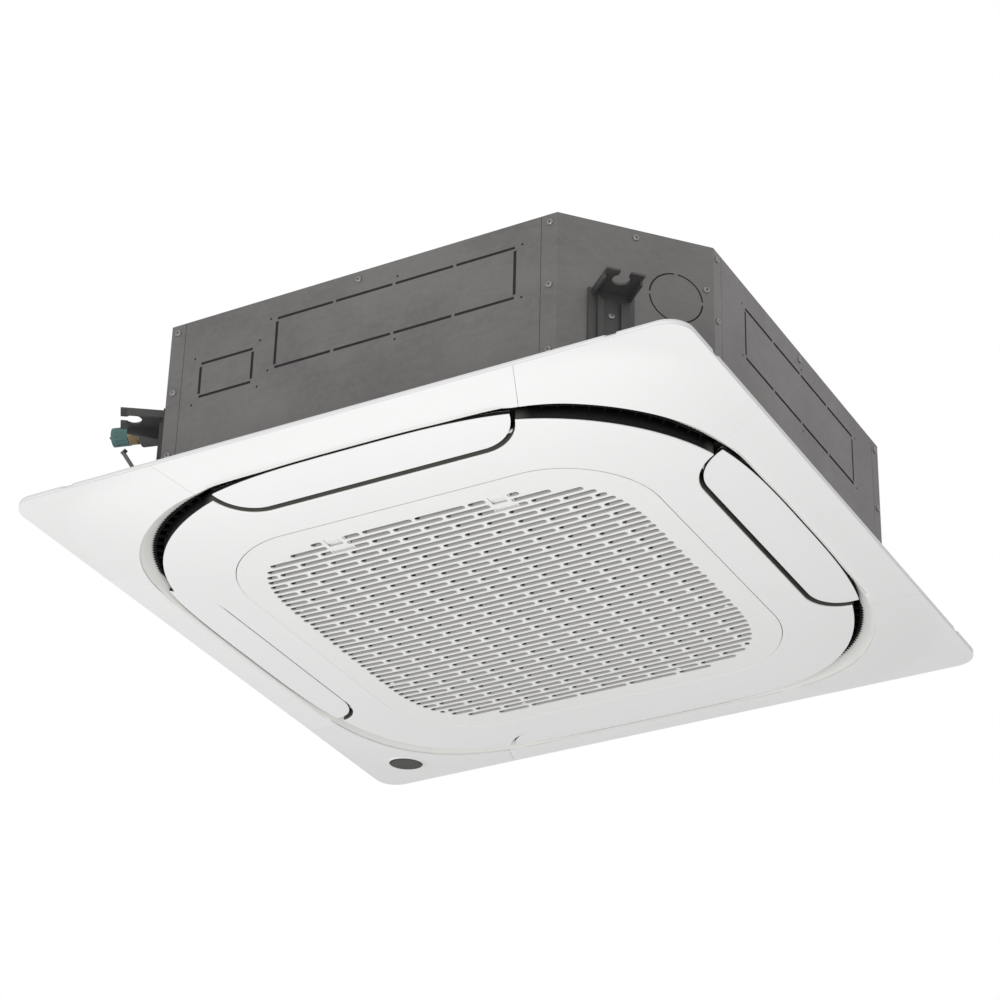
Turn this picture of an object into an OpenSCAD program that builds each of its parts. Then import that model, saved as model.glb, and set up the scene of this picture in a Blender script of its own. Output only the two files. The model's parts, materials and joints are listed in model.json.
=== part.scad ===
// Four-way ceiling cassette air conditioner with its square panel.
// Everything is drawn from the ceiling line upwards, then dropped so that the origin lies
// in the middle of the four hanger seats. Front is -Y, where the grille latches sit.

/* [Body] */
// Width of the steel body along X and along Y
body_w = 840; // [834:1:848]
// Height of the body above the ceiling line
body_h = 240; // [236:1:250]
// How far the body reaches below the ceiling line, into the panel
body_drop = 6; // [5:0.5:6.5]
// Thickness of the steel sheets
sheet_t = 1; // [0.8:0.1:1.2]
// Corner cut of the body along X
cut_x = 137; // [134:1:140]
// Corner cut of the body along Y
cut_y = 155; // [152:1:158]
// Corner cut along Y at the piping corner
pipe_cut_y = 195; // [192:1:198]
// Distance from the corner edge to the seam of a corner sheet
lap_w = 22; // [20:1:25]
// Radius of the casing screw heads
screw_head_r = 4.5; // [4:0.1:5]
// Radius of the casing screw shanks
screw_r = 1.8; // [1.6:0.1:2]

/* [Knockouts] */
// Length of the large duct knockout
duct_ko_l = 348; // [340:1:356]
// Height of the large duct knockout
duct_ko_h = 78; // [74:1:82]
// Length of the small air knockout
small_ko_l = 83; // [80:1:86]
// Height of the small air knockout
small_ko_h = 54; // [51:1:57]
// Width of the punched slots round a knockout
ko_slot = 4; // [3.5:0.1:4.5]
// Width of the bridges left between the slots
ko_bridge = 4.5; // [4:0.1:5]
// Radius of the round knockout in the corner sheets
round_ko_r = 36; // [34:0.5:38]

/* [Hangers] */
// Height of the hanger seats above the ceiling line
seat_h = 135; // [132:1:138]
// Distance between the hanger seats along X
seat_dx = 710; // [706:1:712]
// Distance between the hanger seats along Y
seat_dy = 780; // [778:1:784]
// Radius of the seat hole round the hanger rod
seat_r = 11; // [10:0.5:11.5]
// Width of the open mouth of a seat
seat_mouth = 13.5; // [12.5:0.5:14]
// Thickness of the hanger plates
hook_t = 3; // [2.5:0.1:3.2]
// Width of the hook plate
hook_w = 50; // [48:1:52]
// Width of the bracket on the corner sheet
bracket_w = 60; // [58:1:64]

/* [Panel] */
// Width of the panel along X and along Y
panel_w = 950; // [946:1:956]
// Radius of the panel's outer corners
panel_corner_r = 32; // [28:1:36]
// How far the panel hangs below the ceiling line in its middle
panel_drop = 44.5; // [44:0.5:46]
// Depth of the panel's outer edge
rim_depth = 7.5; // [7:0.5:8]
// Width of the rim that bears against the ceiling
rim_w = 7; // [6:0.5:8]
// Thickness of the panel's moulded skin
skin_t = 2.5; // [2.2:0.1:2.7]
// Width of the rounded opening in the panel frame
open_w = 840; // [838:1:842]
// Width of the middle section inside the opening
centre_w = 824; // [822:1:826]
// Distance from the middle to the seams of the corner covers
cover_seam = 232; // [229:1:235]
// Thickness of a corner cover
cover_t = 1.7; // [1.6:0.1:1.8]
// Width of the fine seams between moulded pieces
seam = 0.6; // [0.5:0.1:0.8]
// Radius of the round sensor window
sensor_r = 25; // [24:0.5:26]
// Distance of the sensor window from both middle planes
sensor_at = 395; // [393:1:398]

/* [Flaps] */
// Distance from the middle to the inner edge of a flap
flap_in = 356.7; // [356.4:0.1:357]
// Half length of a flap
flap_half = 214.3; // [213.8:0.1:214.6]
// Radius of the rounded ends of a flap
flap_r = 61.3; // [60.5:0.1:62]
// Thickness of a flap
flap_t = 3; // [2.8:0.1:3.1]
// How far the flaps lie back from the panel's face
flap_lift = 3.5; // [3.2:0.1:3.6]
// Height of the turned-up edge of a flap
flap_edge_h = 6; // [5.5:0.1:6.2]
// Width of the channel between a flap and the middle section
flap_gap = 5.7; // [5.5:0.1:5.8]
// Clearance between a flap and the panel frame
flap_side_gap = 2.5; // [2.2:0.1:3]
// Distance of the flap hinge from the flap's inner edge
flap_axis_in = 9.3; // [9.2:0.1:9.4]
// Depth of the flap hinge below the ceiling line
flap_axis_z = 20; // [19.9:0.1:20.2]
// Radius of the flap's hinge pins
flap_pin_r = 2.5; // [2.3:0.1:2.6]
// Running clearance of pins and shafts
run_gap = 0.05; // [0.03:0.01:0.08]
// Radius of a flap motor
flap_motor_r = 10; // [9.6:0.1:10.1]
// Length of a flap motor
flap_motor_l = 18; // [16:1:20]

/* [Suction grille] */
// Half width of the suction grille
grille_half = 299.2; // [299:0.1:299.3]
// Corner radius of the suction grille
grille_corner_r = 128; // [125:1:131]
// Gap round the suction grille
grille_gap = 1.6; // [1.5:0.1:1.9]
// Distance between the rows of slots
slot_pitch = 12.24; // [12.1:0.01:12.4]
// Width of a slot
slot_w = 5.2; // [4.8:0.1:5.6]
// Distance from one slot to the next in a row
slot_step = 76.5; // [75:0.5:78]
// Width of the bridges between slots in a row
slot_bridge = 4.5; // [4:0.1:5]
// Half width of the slotted field
field_half = 268; // [266:0.5:269]
// Distance of the grille hinge from the middle
hinge_y = 295; // [294.9:0.1:295.2]
// Depth of the grille hinge below the ceiling line
hinge_z = 34.5; // [34.4:0.1:34.6]
// Distance of each hinge and each latch from the middle along X
hinge_x = 130; // [126:1:134]
// Distance of the latches from the middle along X
latch_x = 119; // [116:1:122]
// Width of a latch tab
latch_w = 20; // [18:1:21]
// Travel of a latch
latch_travel = 6; // [5:0.5:6.5]

/* [Fan] */
// Outer radius of the fan wheel
fan_r = 245; // [240:1:248]
// Number of fan blades
blade_count = 7; // [5:1:9]
// Radius of the bell mouth's throat
throat_r = 196; // [194:1:198]
// Radius of the fan motor
motor_r = 72; // [70:1:73]
// Radius of the fan shaft
shaft_r = 6; // [5.5:0.1:6.5]

/* [Coil] */
// Half width of the coil outside
coil_half = 340; // [338:1:341]
// Thickness of the coil
coil_t = 44; // [42:1:45]
// Outer corner radius of the coil
coil_corner_r = 110; // [108:1:112]
// Height of the coil
coil_h = 188; // [184:1:190]
// Distance from the middle to the coil's ends at the piping corner
coil_end = 215; // [213:1:217]
// Vertical distance between coil tubes
tube_pitch = 25.4; // [24:0.2:26]
// Radius of the coil tubes
tube_r = 3.5; // [3.3:0.1:3.8]

/* [Pipes] */
// Height of the gas pipe's end above the ceiling line
pipe_z = 158; // [156:1:160]
// How far the liquid pipe lies below the gas pipe
liquid_low = 34; // [32:1:35]
// Turn of the pipes from the X direction, in degrees
pipe_turn = 15; // [13:1:17]
// Radius of the gas pipe
gas_r = 7.95; // [7.9:0.05:8]
// Radius of the liquid pipe
liquid_r = 4.75; // [4.7:0.05:4.8]
// Radius of the gas pipe's insulation sleeve
gas_sleeve_r = 17; // [16:0.5:18]
// Radius of the liquid pipe's insulation sleeve
liquid_sleeve_r = 13; // [12:0.5:14]
// How far the sleeves stand out of the body
sleeve_out = 34; // [32:1:36]

/* [Drain] */
// Outer radius of the drain socket
drain_r = 16; // [15.5:0.1:16.5]
// Height of the drain socket above the ceiling line
drain_z = 160; // [158:1:162]
// Height of the drain pan's rim above the ceiling line
pan_h = 46; // [45:0.5:46.2]
// Height of the drain trough's floor above the ceiling line
trough_z = 28; // [27:0.5:29]
// Travel of the float
float_travel = 12; // [10:1:14]

/* [Hidden] */

over = 1;              // overrun of every cut
seat_gap = 0.3;        // clearance of a piece in its seat
fine = 48;             // sides of a round shape
body_half = body_w / 2;
panel_half = panel_w / 2;

// colours
steel = [0.47, 0.46, 0.45];
shade_steel = [0.43, 0.42, 0.44];
dark = [0.12, 0.12, 0.12];
white = [0.93, 0.93, 0.92];
off_white = [0.87, 0.87, 0.85];
foam = [0.78, 0.79, 0.8];
copper = [0.72, 0.42, 0.26];
brass = [0.62, 0.52, 0.34];
grey = [0.45, 0.46, 0.45];

// the face of the panel: depth below the ceiling line at a distance from the middle
face_power = 5;
face_bend = 1.25;
diag_share = 1.263;
face_shares = [1, 0.975, 0.94, 0.885, 0.82, 0.74, 0.63, 0.45];
open_power = 3.4;
centre_power = 3.1;
field_power = 5;
round_steps = 72;

function face_z(r, reach) = -rim_depth - (panel_drop - rim_depth)
    * pow(1 - pow(min(1, r / reach), face_power), face_bend);
function mirror_x(p) = [for (i = [len(p) - 1 : -1 : 0]) [-p[i][0], p[i][1]]];
function face_half(reach, lift) = [for (s = face_shares) [s * reach, face_z(s * reach, reach) + lift]];
function arc(x, y, r, a, b, n = 10) = [for (i = [0 : n]) let (t = a + (b - a) * i / n) [x + r * cos(t), y + r * sin(t)]];
function rounded(h, r) = concat(arc(h - r, h - r, r, 0, 90), arc(r - h, h - r, r, 90, 180),
    arc(r - h, r - h, r, 180, 270), arc(h - r, r - h, r, 270, 360));
function squircle_r(a, p, t) = a / pow(pow(abs(cos(t)), p) + pow(abs(sin(t)), p), 1 / p);
function squircle(a, p) = [for (i = [0 : round_steps - 1]) let (t = 360 * i / round_steps)
    squircle_r(a, p, t) * [cos(t), sin(t)]];

// the corner line of the body, moved inwards by t: where it meets the front and the side
function corner_n(cy) = [cy, cut_x] / norm([cy, cut_x]);
function corner_d(cy) = corner_n(cy) * [body_half - cut_x, body_half];
function cut_at_front(cy, t) = (corner_d(cy) - t - corner_n(cy)[1] * (body_half - t)) / corner_n(cy)[0];
function cut_at_side(cy, t) = (corner_d(cy) - t - corner_n(cy)[0] * (body_half - t)) / corner_n(cy)[1];
function body_line(t) = let (h = body_half - t, x = cut_at_front(cut_y, t), y = cut_at_side(cut_y, t))
    [[-cut_at_front(pipe_cut_y, t), -h], [x, -h], [h, -y], [h, y], [x, h], [-x, h], [-h, y],
     [-h, -cut_at_side(pipe_cut_y, t)]];

module drop() translate([0, 0, -seat_h]) children();
module turned(n) rotate([0, 0, 90 * n]) children();
module block(x, y, z) translate([x[0], y[0], z[0]]) cube([x[1] - x[0], y[1] - y[0], z[1] - z[0]]);
module prism(p, z0, z1) translate([0, 0, z0]) linear_extrude(z1 - z0) polygon(p);
module ring(p, q, z0, z1) difference() {
    prism(p, z0, z1);
    prism(q, z0 - over, z1 + over);
}
module rod(r, z0, z1) translate([0, 0, z0]) cylinder(r = r, h = z1 - z0, $fn = fine);
module tube(r, hole, z0, z1) difference() {
    rod(r, z0, z1);
    rod(hole, z0 - over, z1 + over);
}
module rod_x(r, x0, x1, y, z) translate([x0, y, z]) rotate([0, 90, 0]) cylinder(r = r, h = x1 - x0, $fn = fine);
module link(a, b, r) {
    d = b - a;
    translate(a) rotate([0, acos(d[2] / norm(d)), atan2(d[1], d[0])]) cylinder(r = r, h = norm(d), $fn = 32);
}
module run(p, r) {
    for (i = [0 : len(p) - 2]) link(p[i], p[i + 1], r);
    for (i = [1 : len(p) - 2]) translate(p[i]) sphere(r, $fn = 32);
}
module bar_shape(reach, lift) {
    p = face_half(reach, lift);
    half = panel_w;
    translate([0, half, 0]) rotate([90, 0, 0]) linear_extrude(2 * half)
        polygon(concat([[-half, p[0][1]]], mirror_x([for (i = [len(p) - 1 : -1 : 0]) p[i]]),
            [for (i = [len(p) - 1 : -1 : 0]) p[i]], [[half, p[0][1]], [half, panel_drop], [-half, panel_drop]]));
}
// everything above the panel's face
module above_face(lift) intersection() {
    bar_shape(panel_half, lift);
    turned(1) bar_shape(panel_half, lift);
    rotate([0, 0, 45]) bar_shape(panel_half * diag_share, lift);
    rotate([0, 0, 135]) bar_shape(panel_half * diag_share, lift);
}
module shell(low, high) difference() {
    above_face(low);
    above_face(high);
}
module under(z) translate([-panel_w, -panel_w, z - panel_w]) cube([2 * panel_w, 2 * panel_w, panel_w]);

// casing sheets

screw_top_z = 228;
screw_mid_z = 136;
screw_low_z = 42;
screw_cut_z = 174;
screw_in = 10;                   // screws from the corner edge, on the lap
hook_screw_z = 102;
hook_screw_low = 62;
pan_head_h = 2;
hole_r = 1.6;
duct_ko_at = 53;                 // middle of the large knockout on the front
duct_ko_z = 168;
small_ko_at = -193;
small_ko_z = 144;
front_flat = body_half - cut_x;
side_flat = body_half - cut_y;
top_z = body_h - sheet_t;

module slot_frame(l, h, bridges) {
    n = bridges + 1;
    part = l / n;
    for (s = [-1, 1]) {
        for (i = [0 : n - 1])
            block([-l / 2 + i * part + ko_bridge / 2, -l / 2 + (i + 1) * part - ko_bridge / 2],
                  [-over, sheet_t + over], [s * (h - ko_slot) / 2 - ko_slot / 2, s * (h - ko_slot) / 2 + ko_slot / 2]);
        block([s * (l - ko_slot) / 2 - ko_slot / 2, s * (l - ko_slot) / 2 + ko_slot / 2],
              [-over, sheet_t + over], [-h / 2 + ko_bridge + ko_slot / 2, h / 2 - ko_bridge - ko_slot / 2]);
    }
}
// pilot holes beside the front knockouts, measured from each knockout's middle
hole_gap = 8;
duct_holes = [for (x = [-1, 0, 1], z = [-1, 1]) [x * (duct_ko_l / 2 + hole_gap) + (x == 0 ? ko_bridge : 0),
    z * (duct_ko_h / 2 + (x == 0 ? hole_gap : 0))]];
small_holes = [for (x = [-1, 1], z = [-1, 1]) [x * (small_ko_l / 2 + hole_gap), z * (small_ko_h / 2 + hole_gap)]];
module holes(list, x, z) for (p = list) translate([x + p[0], 0, z + p[1]])
    rotate([90, 0, 0]) cylinder(r = hole_r, h = 2 * over + 2 * sheet_t, center = true, $fn = 24);
module screw_bore(r) rotate([90, 0, 0]) cylinder(r = r, h = 2 * over + 2 * sheet_t, center = true, $fn = 24);

module front_wall(low_end, high_end) difference() {
    block([-low_end + lap_w + seam / 2, high_end - lap_w - seam / 2], [0, sheet_t], [-body_drop, top_z]);
    translate([0, 0, screw_top_z]) screw_bore(screw_r + seam / 4);
}
module front_sheet() drop() color(steel) translate([0, -body_half, 0]) difference() {
    front_wall(front_flat, front_flat);
    translate([duct_ko_at, 0, duct_ko_z]) slot_frame(duct_ko_l, duct_ko_h, 3);
    translate([small_ko_at, 0, small_ko_z]) slot_frame(small_ko_l, small_ko_h, 0);
    holes(duct_holes, duct_ko_at, duct_ko_z);
    holes(small_holes, small_ko_at, small_ko_z);
}
module right_sheet() drop() color(shade_steel) turned(1) translate([0, -body_half, 0]) difference() {
    front_wall(side_flat, side_flat);
    translate([0, 0, duct_ko_z]) slot_frame(duct_ko_l, duct_ko_h, 3);
    holes(duct_holes, 0, duct_ko_z);
}
module back_sheet() drop() color(steel) turned(2) translate([0, -body_half, 0]) difference() {
    front_wall(front_flat, front_flat);
    translate([0, 0, duct_ko_z]) slot_frame(duct_ko_l, duct_ko_h, 3);
}
drain_at = 190;                  // place of the drain socket on the left side
module left_sheet() drop() color(shade_steel) turned(3) translate([0, -body_half, 0]) difference() {
    front_wall(side_flat, body_half - pipe_cut_y);
    translate([drain_at, 0, drain_z]) screw_bore(drain_r + seat_gap);
}
// frame of a corner: origin at the front end of the cut, u outwards, v along the cut
function corner_turn(cy) = atan2(cut_x, cy);
module corner_frame(sx, sy, cy) mirror([sx < 0 ? 1 : 0, 0, 0]) mirror([0, sy > 0 ? 1 : 0, 0])
    translate([body_half - cut_x, -body_half, 0]) rotate([0, 0, -corner_turn(cy)]) children();
corners = [[1, -1, cut_y], [1, 1, cut_y], [-1, 1, cut_y], [-1, -1, pipe_cut_y]];
function cut_len(cy) = norm([cut_x, cy]);
window_from = 100;               // opening for the pipes along the piping corner
window_to = 214;
window_low = 92;
window_high = 190;
module corner_sheets() drop() color(shade_steel) difference() {
    intersection() {
        ring(body_line(0), body_line(sheet_t), -body_drop, top_z);
        for (c = corners) mirror([c[0] < 0 ? 1 : 0, 0, 0]) mirror([0, c[1] < 0 ? 1 : 0, 0])
            block([body_half - cut_x - lap_w + seam / 2, body_half + over],
                  [body_half - c[2] - lap_w + seam / 2, body_half + over], [-body_drop - over, body_h]);
    }
    for (c = [corners[0], corners[1], corners[2]]) corner_frame(c[0], c[1], c[2])
        translate([0, cut_len(c[2]) * round_ko_share, round_ko_z]) for (i = [0 : 3]) rotate([90 * i, 0, 0])
            rotate([0, 90, 0]) translate([0, 0, -2 * sheet_t - over]) rotate([0, 0, ko_bridge_turn])
            rotate_extrude(angle = 90 - 2 * ko_bridge_turn, $fn = fine)
            translate([round_ko_r - ko_slot / 2, 0]) square([ko_slot / 2, 4 * sheet_t + over]);
    corner_frame(-1, -1, pipe_cut_y)
        block([-2 * sheet_t - over, over], [window_from, window_to], [window_low, window_high]);
    translate([0, -drain_at, drain_z]) rod_x(drain_r + seat_gap, -body_half - over, -body_half + over, 0, 0);
    sheet_screws() screw_bore(screw_r + seam / 4);
    bracket_screws() screw_bore(screw_r + seam / 4);
}
round_ko_share = 0.755;
round_ko_z = 152;
ko_bridge_turn = 4;
// every screw of the corner sheets, each with its head facing -Y
module sheet_screws() for (c = corners) {
    corner_frame(c[0], c[1], c[2]) {
        translate([0, cut_len(c[2]) / 2, screw_top_z]) rotate([0, 0, 90]) children();
        translate([0, cut_len(c[2]) - screw_in, c[2] == cut_y ? screw_cut_z : screw_mid_z]) rotate([0, 0, 90]) children();
    }
    mirror([c[0] < 0 ? 1 : 0, 0, 0]) mirror([0, c[1] > 0 ? 1 : 0, 0]) for (z = [screw_top_z, screw_mid_z, screw_low_z]) {
        translate([body_half - cut_x - screw_in, -body_half, z]) children();
        translate([body_half, -body_half + c[2] + screw_in, z]) rotate([0, 0, 90]) children();
    }
}
module bracket_screws() for (c = corners) hanger_frame(c) for (z = [hook_screw_z, hook_screw_low])
    translate([-seat_reach(c[2]), 0, z]) rotate([0, 0, 90]) children();
module top_plate() drop() color(steel) {
    prism(body_line(0), top_z, body_h);
    for (i = [0 : 3]) rotate([0, 0, 45 + 90 * i]) translate([stud_at, 0, 0]) {
        rod(stud_r, ear_z - nut_h, top_z + sheet_t / 2);
        rod(stud_nut_r, ear_z - nut_h - seat_gap, ear_z - seat_gap);
    }
}
module one_screw(through = 0) rotate([90, 0, 0]) {
    translate([0, 0, seam / 4]) cylinder(r = screw_head_r, h = pan_head_h, $fn = 32);
    translate([0, 0, -screw_l - through]) cylinder(r = screw_r, h = screw_l + through + sheet_t, $fn = 24);
}
screw_l = 2.5;
module casing_screws() drop() color("silver") {
    for (i = [0 : 3]) turned(i) translate([0, -body_half, screw_top_z]) one_screw();
    sheet_screws() one_screw();
    bracket_screws() translate([0, -hook_t - seat_gap / 3, 0]) one_screw(hook_t + seat_gap / 3);
}

// hanger brackets

foot_hole_at = 19;               // panel screw, inwards from the seat
foot_hole_r = 3.4;
foot_z = -body_drop;
hook_out = 17;
lip_h = 14;
lip_out = 8;
rib_at = 11;                     // raised ribs of the bracket
rib_w = 8;
rib_out = 7;
function seat_reach(cy) = corner_n(cy) * [seat_dx / 2, seat_dy / 2] - corner_d(cy);
module hanger_frame(c) translate([c[0] * seat_dx / 2, c[1] * seat_dy / 2, 0])
    rotate([0, 0, atan2(c[1] * corner_n(c[2])[1], c[0] * corner_n(c[2])[0])]) children();
module hanger_brackets() drop() color(dark) for (c = corners) hanger_frame(c) {
    back = -seat_reach(c[2]) + seat_gap / 3;
    difference() {
        block([back, back + hook_t], [-bracket_w / 2, bracket_w / 2], [foot_z, seat_h + hook_t]);
        for (z = [hook_screw_z, hook_screw_low]) translate([back, 0, z]) rotate([0, 90, 0])
            cylinder(r = screw_r + seam / 4, h = 3 * hook_t, center = true, $fn = 24);
    }
    difference() {
        block([back + hook_t / 2, hook_out], [-hook_w / 2, hook_w / 2], [seat_h, seat_h + hook_t]);
        rod(seat_r, seat_h - over, seat_h + hook_t + over);
        block([0, hook_out + over], [-seat_mouth / 2, seat_mouth / 2], [seat_h - over, seat_h + hook_t + over]);
    }
    for (s = [-1, 1]) {
        block([back + hook_t / 2, lip_out], [min(s * hook_w / 2, s * (hook_w / 2 - hook_t)),
              max(s * hook_w / 2, s * (hook_w / 2 - hook_t))], [seat_h - lip_h, seat_h + hook_t / 2]);
        block([back + hook_t / 2, back + rib_out], [min(s * rib_at, s * (rib_at + rib_w)),
              max(s * rib_at, s * (rib_at + rib_w))], [0, seat_h - lip_h]);
    }
    difference() {
        block([back + hook_t / 2, -foot_hole_at + 3 * foot_hole_r], [-3 * foot_hole_r, 3 * foot_hole_r],
              [foot_z, foot_z + hook_t]);
        translate([-foot_hole_at, 0, 0]) rod(foot_hole_r, foot_z - over, foot_z + hook_t + over);
    }
}

// insulation inside the casing

liner_t = 18;
liner_z = pan_h + seat_gap;
pad_t = 10;
pad_z = top_z - pad_t;
pad_hole_r = 96;
module screw_pocket() cube([3 * screw_r, 4 * screw_l, 3 * screw_r], center = true);
module insulation() drop() color(foam) difference() {
    union() {
        ring(body_line(sheet_t + seat_gap), body_line(sheet_t + seat_gap + liner_t), liner_z, pad_z - seat_gap);
        difference() {
            prism(body_line(sheet_t + seat_gap), pad_z, top_z);
            rod(pad_hole_r, pad_z - over, top_z + over);
        }
    }
    corner_frame(-1, -1, pipe_cut_y)
        block([-2 * liner_t, over], [window_from - liner_t, window_to + over], [window_low, window_high]);
    translate([-body_half - over, -drain_at, drain_z]) rotate([0, 90, 0])
        cylinder(r = drain_r + seat_gap, h = 2 * liner_t, $fn = fine);
    for (i = [0 : 3]) turned(i) translate([0, -body_half, screw_top_z]) screw_pocket();
    sheet_screws() screw_pocket();
    bracket_screws() screw_pocket();
}

// coil

coil_z = 36;
plate_t = 1.5;
plate_out = 2;
module coil_fins() drop() color("lightsteelblue") difference() {
    ring(rounded(coil_half, coil_corner_r), rounded(coil_half - coil_t, coil_corner_r - coil_t), coil_z, coil_z + coil_h);
    block([-body_half, -coil_end], [-body_half, -coil_end], [0, body_h]);
}
module end_plate() block([-coil_end - plate_t, -coil_end], [-coil_half - plate_out, -coil_half + coil_t + plate_out],
    [coil_z, coil_z + coil_h + plate_out]);
module swap() mirror([1, -1, 0]) children();
module coil_end_plates() drop() color("silver") {
    end_plate();
    swap() end_plate();
}
bend_row_shares = [0.25, 0.75];
bend_count = 3;
bend_z = coil_z + tube_pitch;
module end_bends() for (s = bend_row_shares, i = [0 : bend_count - 1])
    translate([-coil_end - plate_t, -coil_half + coil_t * s, bend_z + (2 * i + 0.5) * tube_pitch])
        rotate([0, 0, 180]) rotate([-90, 0, 0]) rotate([0, 0, -90]) rotate_extrude(angle = 180, $fn = 32)
        translate([tube_pitch / 2, 0]) circle(tube_r, $fn = 24);
module coil_return_bends() drop() color(copper) {
    end_bends();
    swap() end_bends();
}

// refrigerant pipes

gas_v = 128;                     // along the piping corner
liquid_v = 185;
pipe_dir = [-cos(pipe_turn), -sin(pipe_turn), 0];
function on_corner(v) = let (n = corner_n(pipe_cut_y)) [-(body_half - cut_x) - n[1] * v, -body_half + n[0] * v, pipe_z];
gas_exit = on_corner(gas_v);
liquid_exit = on_corner(liquid_v) - [0, 0, liquid_low];
gas_in = 67;
liquid_in = 74;
gas_head = gas_exit - gas_in * pipe_dir;
liquid_head = liquid_exit - liquid_in * pipe_dir;
header_low = 56;
gas_header_top = 206;
liquid_header_top = 172;
stub_r = 4;
function stub_z(i) = header_low + tube_pitch * (0.87 + 2.2 * i);
drip_r = 2.5;
function drip_z(i) = header_low + tube_pitch / 4 + (liquid_header_top - header_low - tube_pitch / 2) * i / 3;
distributor_r = 6;
nut_l = 12;
cone_l = 4;
gas_nut_r = 14;
liquid_nut_r = 10.5;
function pipe_tip(e) = e + (sleeve_out + cone_l) * pipe_dir;
module gas_pipe() drop() color(copper) {
    translate([gas_head[0], gas_head[1], 0]) rod(gas_r, header_low, gas_header_top);
    link(gas_head, pipe_tip(gas_exit), gas_r);
    for (i = [0 : 2]) link([gas_head[0], gas_head[1], stub_z(i)], [-coil_end - plate_t, gas_head[1], stub_z(i)], stub_r);
}
module liquid_pipe() drop() color(copper) {
    translate([liquid_head[0], liquid_head[1], 0]) rod(distributor_r, header_low, liquid_header_top);
    link(liquid_head, pipe_tip(liquid_exit), liquid_r);
    for (i = [0 : 3]) link([liquid_head[0], liquid_head[1], drip_z(i)], [liquid_head[0], -coil_end - plate_t, drip_z(i)], drip_r);
}
module along_pipe(e, t) translate(e + t * pipe_dir) rotate([0, 0, pipe_turn]) rotate([0, -90, 0]) children();
module nut(r, hole) difference() {
    cylinder(r = r, h = nut_l, $fn = 6);
    translate([0, 0, -over]) cylinder(r = hole, h = nut_l + 2 * over, $fn = fine);
}
module flare_nuts() drop() color(brass) {
    along_pipe(gas_exit, sleeve_out + cone_l + seat_gap) cylinder(r = gas_nut_r, h = nut_l, $fn = 6);
    along_pipe(gas_exit, sleeve_out + seat_gap) difference() {
        cylinder(r = gas_r + stub_r, h = cone_l, $fn = fine);
        translate([0, 0, -over]) cylinder(r = gas_r + run_gap, h = cone_l + 2 * over, $fn = fine);
    }
    along_pipe(liquid_exit, sleeve_out + cone_l + seat_gap) cylinder(r = liquid_nut_r, h = nut_l, $fn = 6);
}
cap_l = 23;
cap_tip = 6;
cap_ribs = 12;
module cap(r) {
    difference() {
        cylinder(r = r, h = cap_l, $fn = fine);
        for (i = [0 : cap_ribs - 1]) rotate([0, 0, 360 * i / cap_ribs]) translate([r + stub_r / 2, 0, -over])
            cylinder(r = stub_r * 0.75, h = cap_l - cap_tip, $fn = 24);
    }
    translate([0, 0, cap_l]) cylinder(r1 = r / 3, r2 = r / 12, h = cap_tip, $fn = fine);
}
module flare_caps() drop() color("cadetblue") {
    along_pipe(gas_exit, sleeve_out + cone_l + nut_l + 2 * seat_gap) cap(gas_nut_r - over);
    along_pipe(liquid_exit, sleeve_out + cone_l + nut_l + 2 * seat_gap) cap(liquid_nut_r - over);
}
cover_in = 6;                    // sleeves start inside the pipe cover
module sleeve(e, r, hole) along_pipe(e, -cover_in) difference() {
    cylinder(r = r, h = sleeve_out + cover_in, $fn = fine);
    translate([0, 0, -over]) cylinder(r = hole + run_gap, h = sleeve_out + cover_in + 2 * over, $fn = fine);
}
module pipe_sleeves() drop() color(grey) {
    sleeve(gas_exit, gas_sleeve_r, gas_r);
    sleeve(liquid_exit, liquid_sleeve_r, liquid_r);
}
cover_lap = 6;
module pipe_cover() drop() color(steel) difference() {
    corner_frame(-1, -1, pipe_cut_y) block([seam / 4, seam / 4 + sheet_t],
        [window_from + seam, window_to + cover_lap], [window_low - cover_lap, window_high + cover_lap]);
    along_pipe(gas_exit, -liner_t) cylinder(r = gas_sleeve_r + seat_gap, h = 2 * liner_t, $fn = fine);
    along_pipe(liquid_exit, -liner_t) cylinder(r = liquid_sleeve_r + seat_gap, h = 2 * liner_t, $fn = fine);
}

// drain pan and pump

pan_hole_r = 230;
trough_gap = 8;
outlet_in = 356;
outlet_out = 397;
outlet_half = 185;
corner_out_a = 400;
corner_in_a = 388;
corner_from = 206;
pump_at = 255;
module at_pump() translate([-pump_at, -pump_at, 0]) children();
sump_r = 60;
sump_z = 24;
box_half = 150;                  // control box
box_front = 345;
box_back = 254;
box_low = 20;
box_top = 18;
box_y = [-box_front, -box_back];
box_z = [-box_low, box_top];
plug_x = 210;
plug_y = 318;
plug_r = 9;
pad_count = 4;
module corner_sector(from) for (i = [0 : 3]) turned(i) block([from, panel_w], [from, panel_w], [-panel_w, panel_w]);
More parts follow.
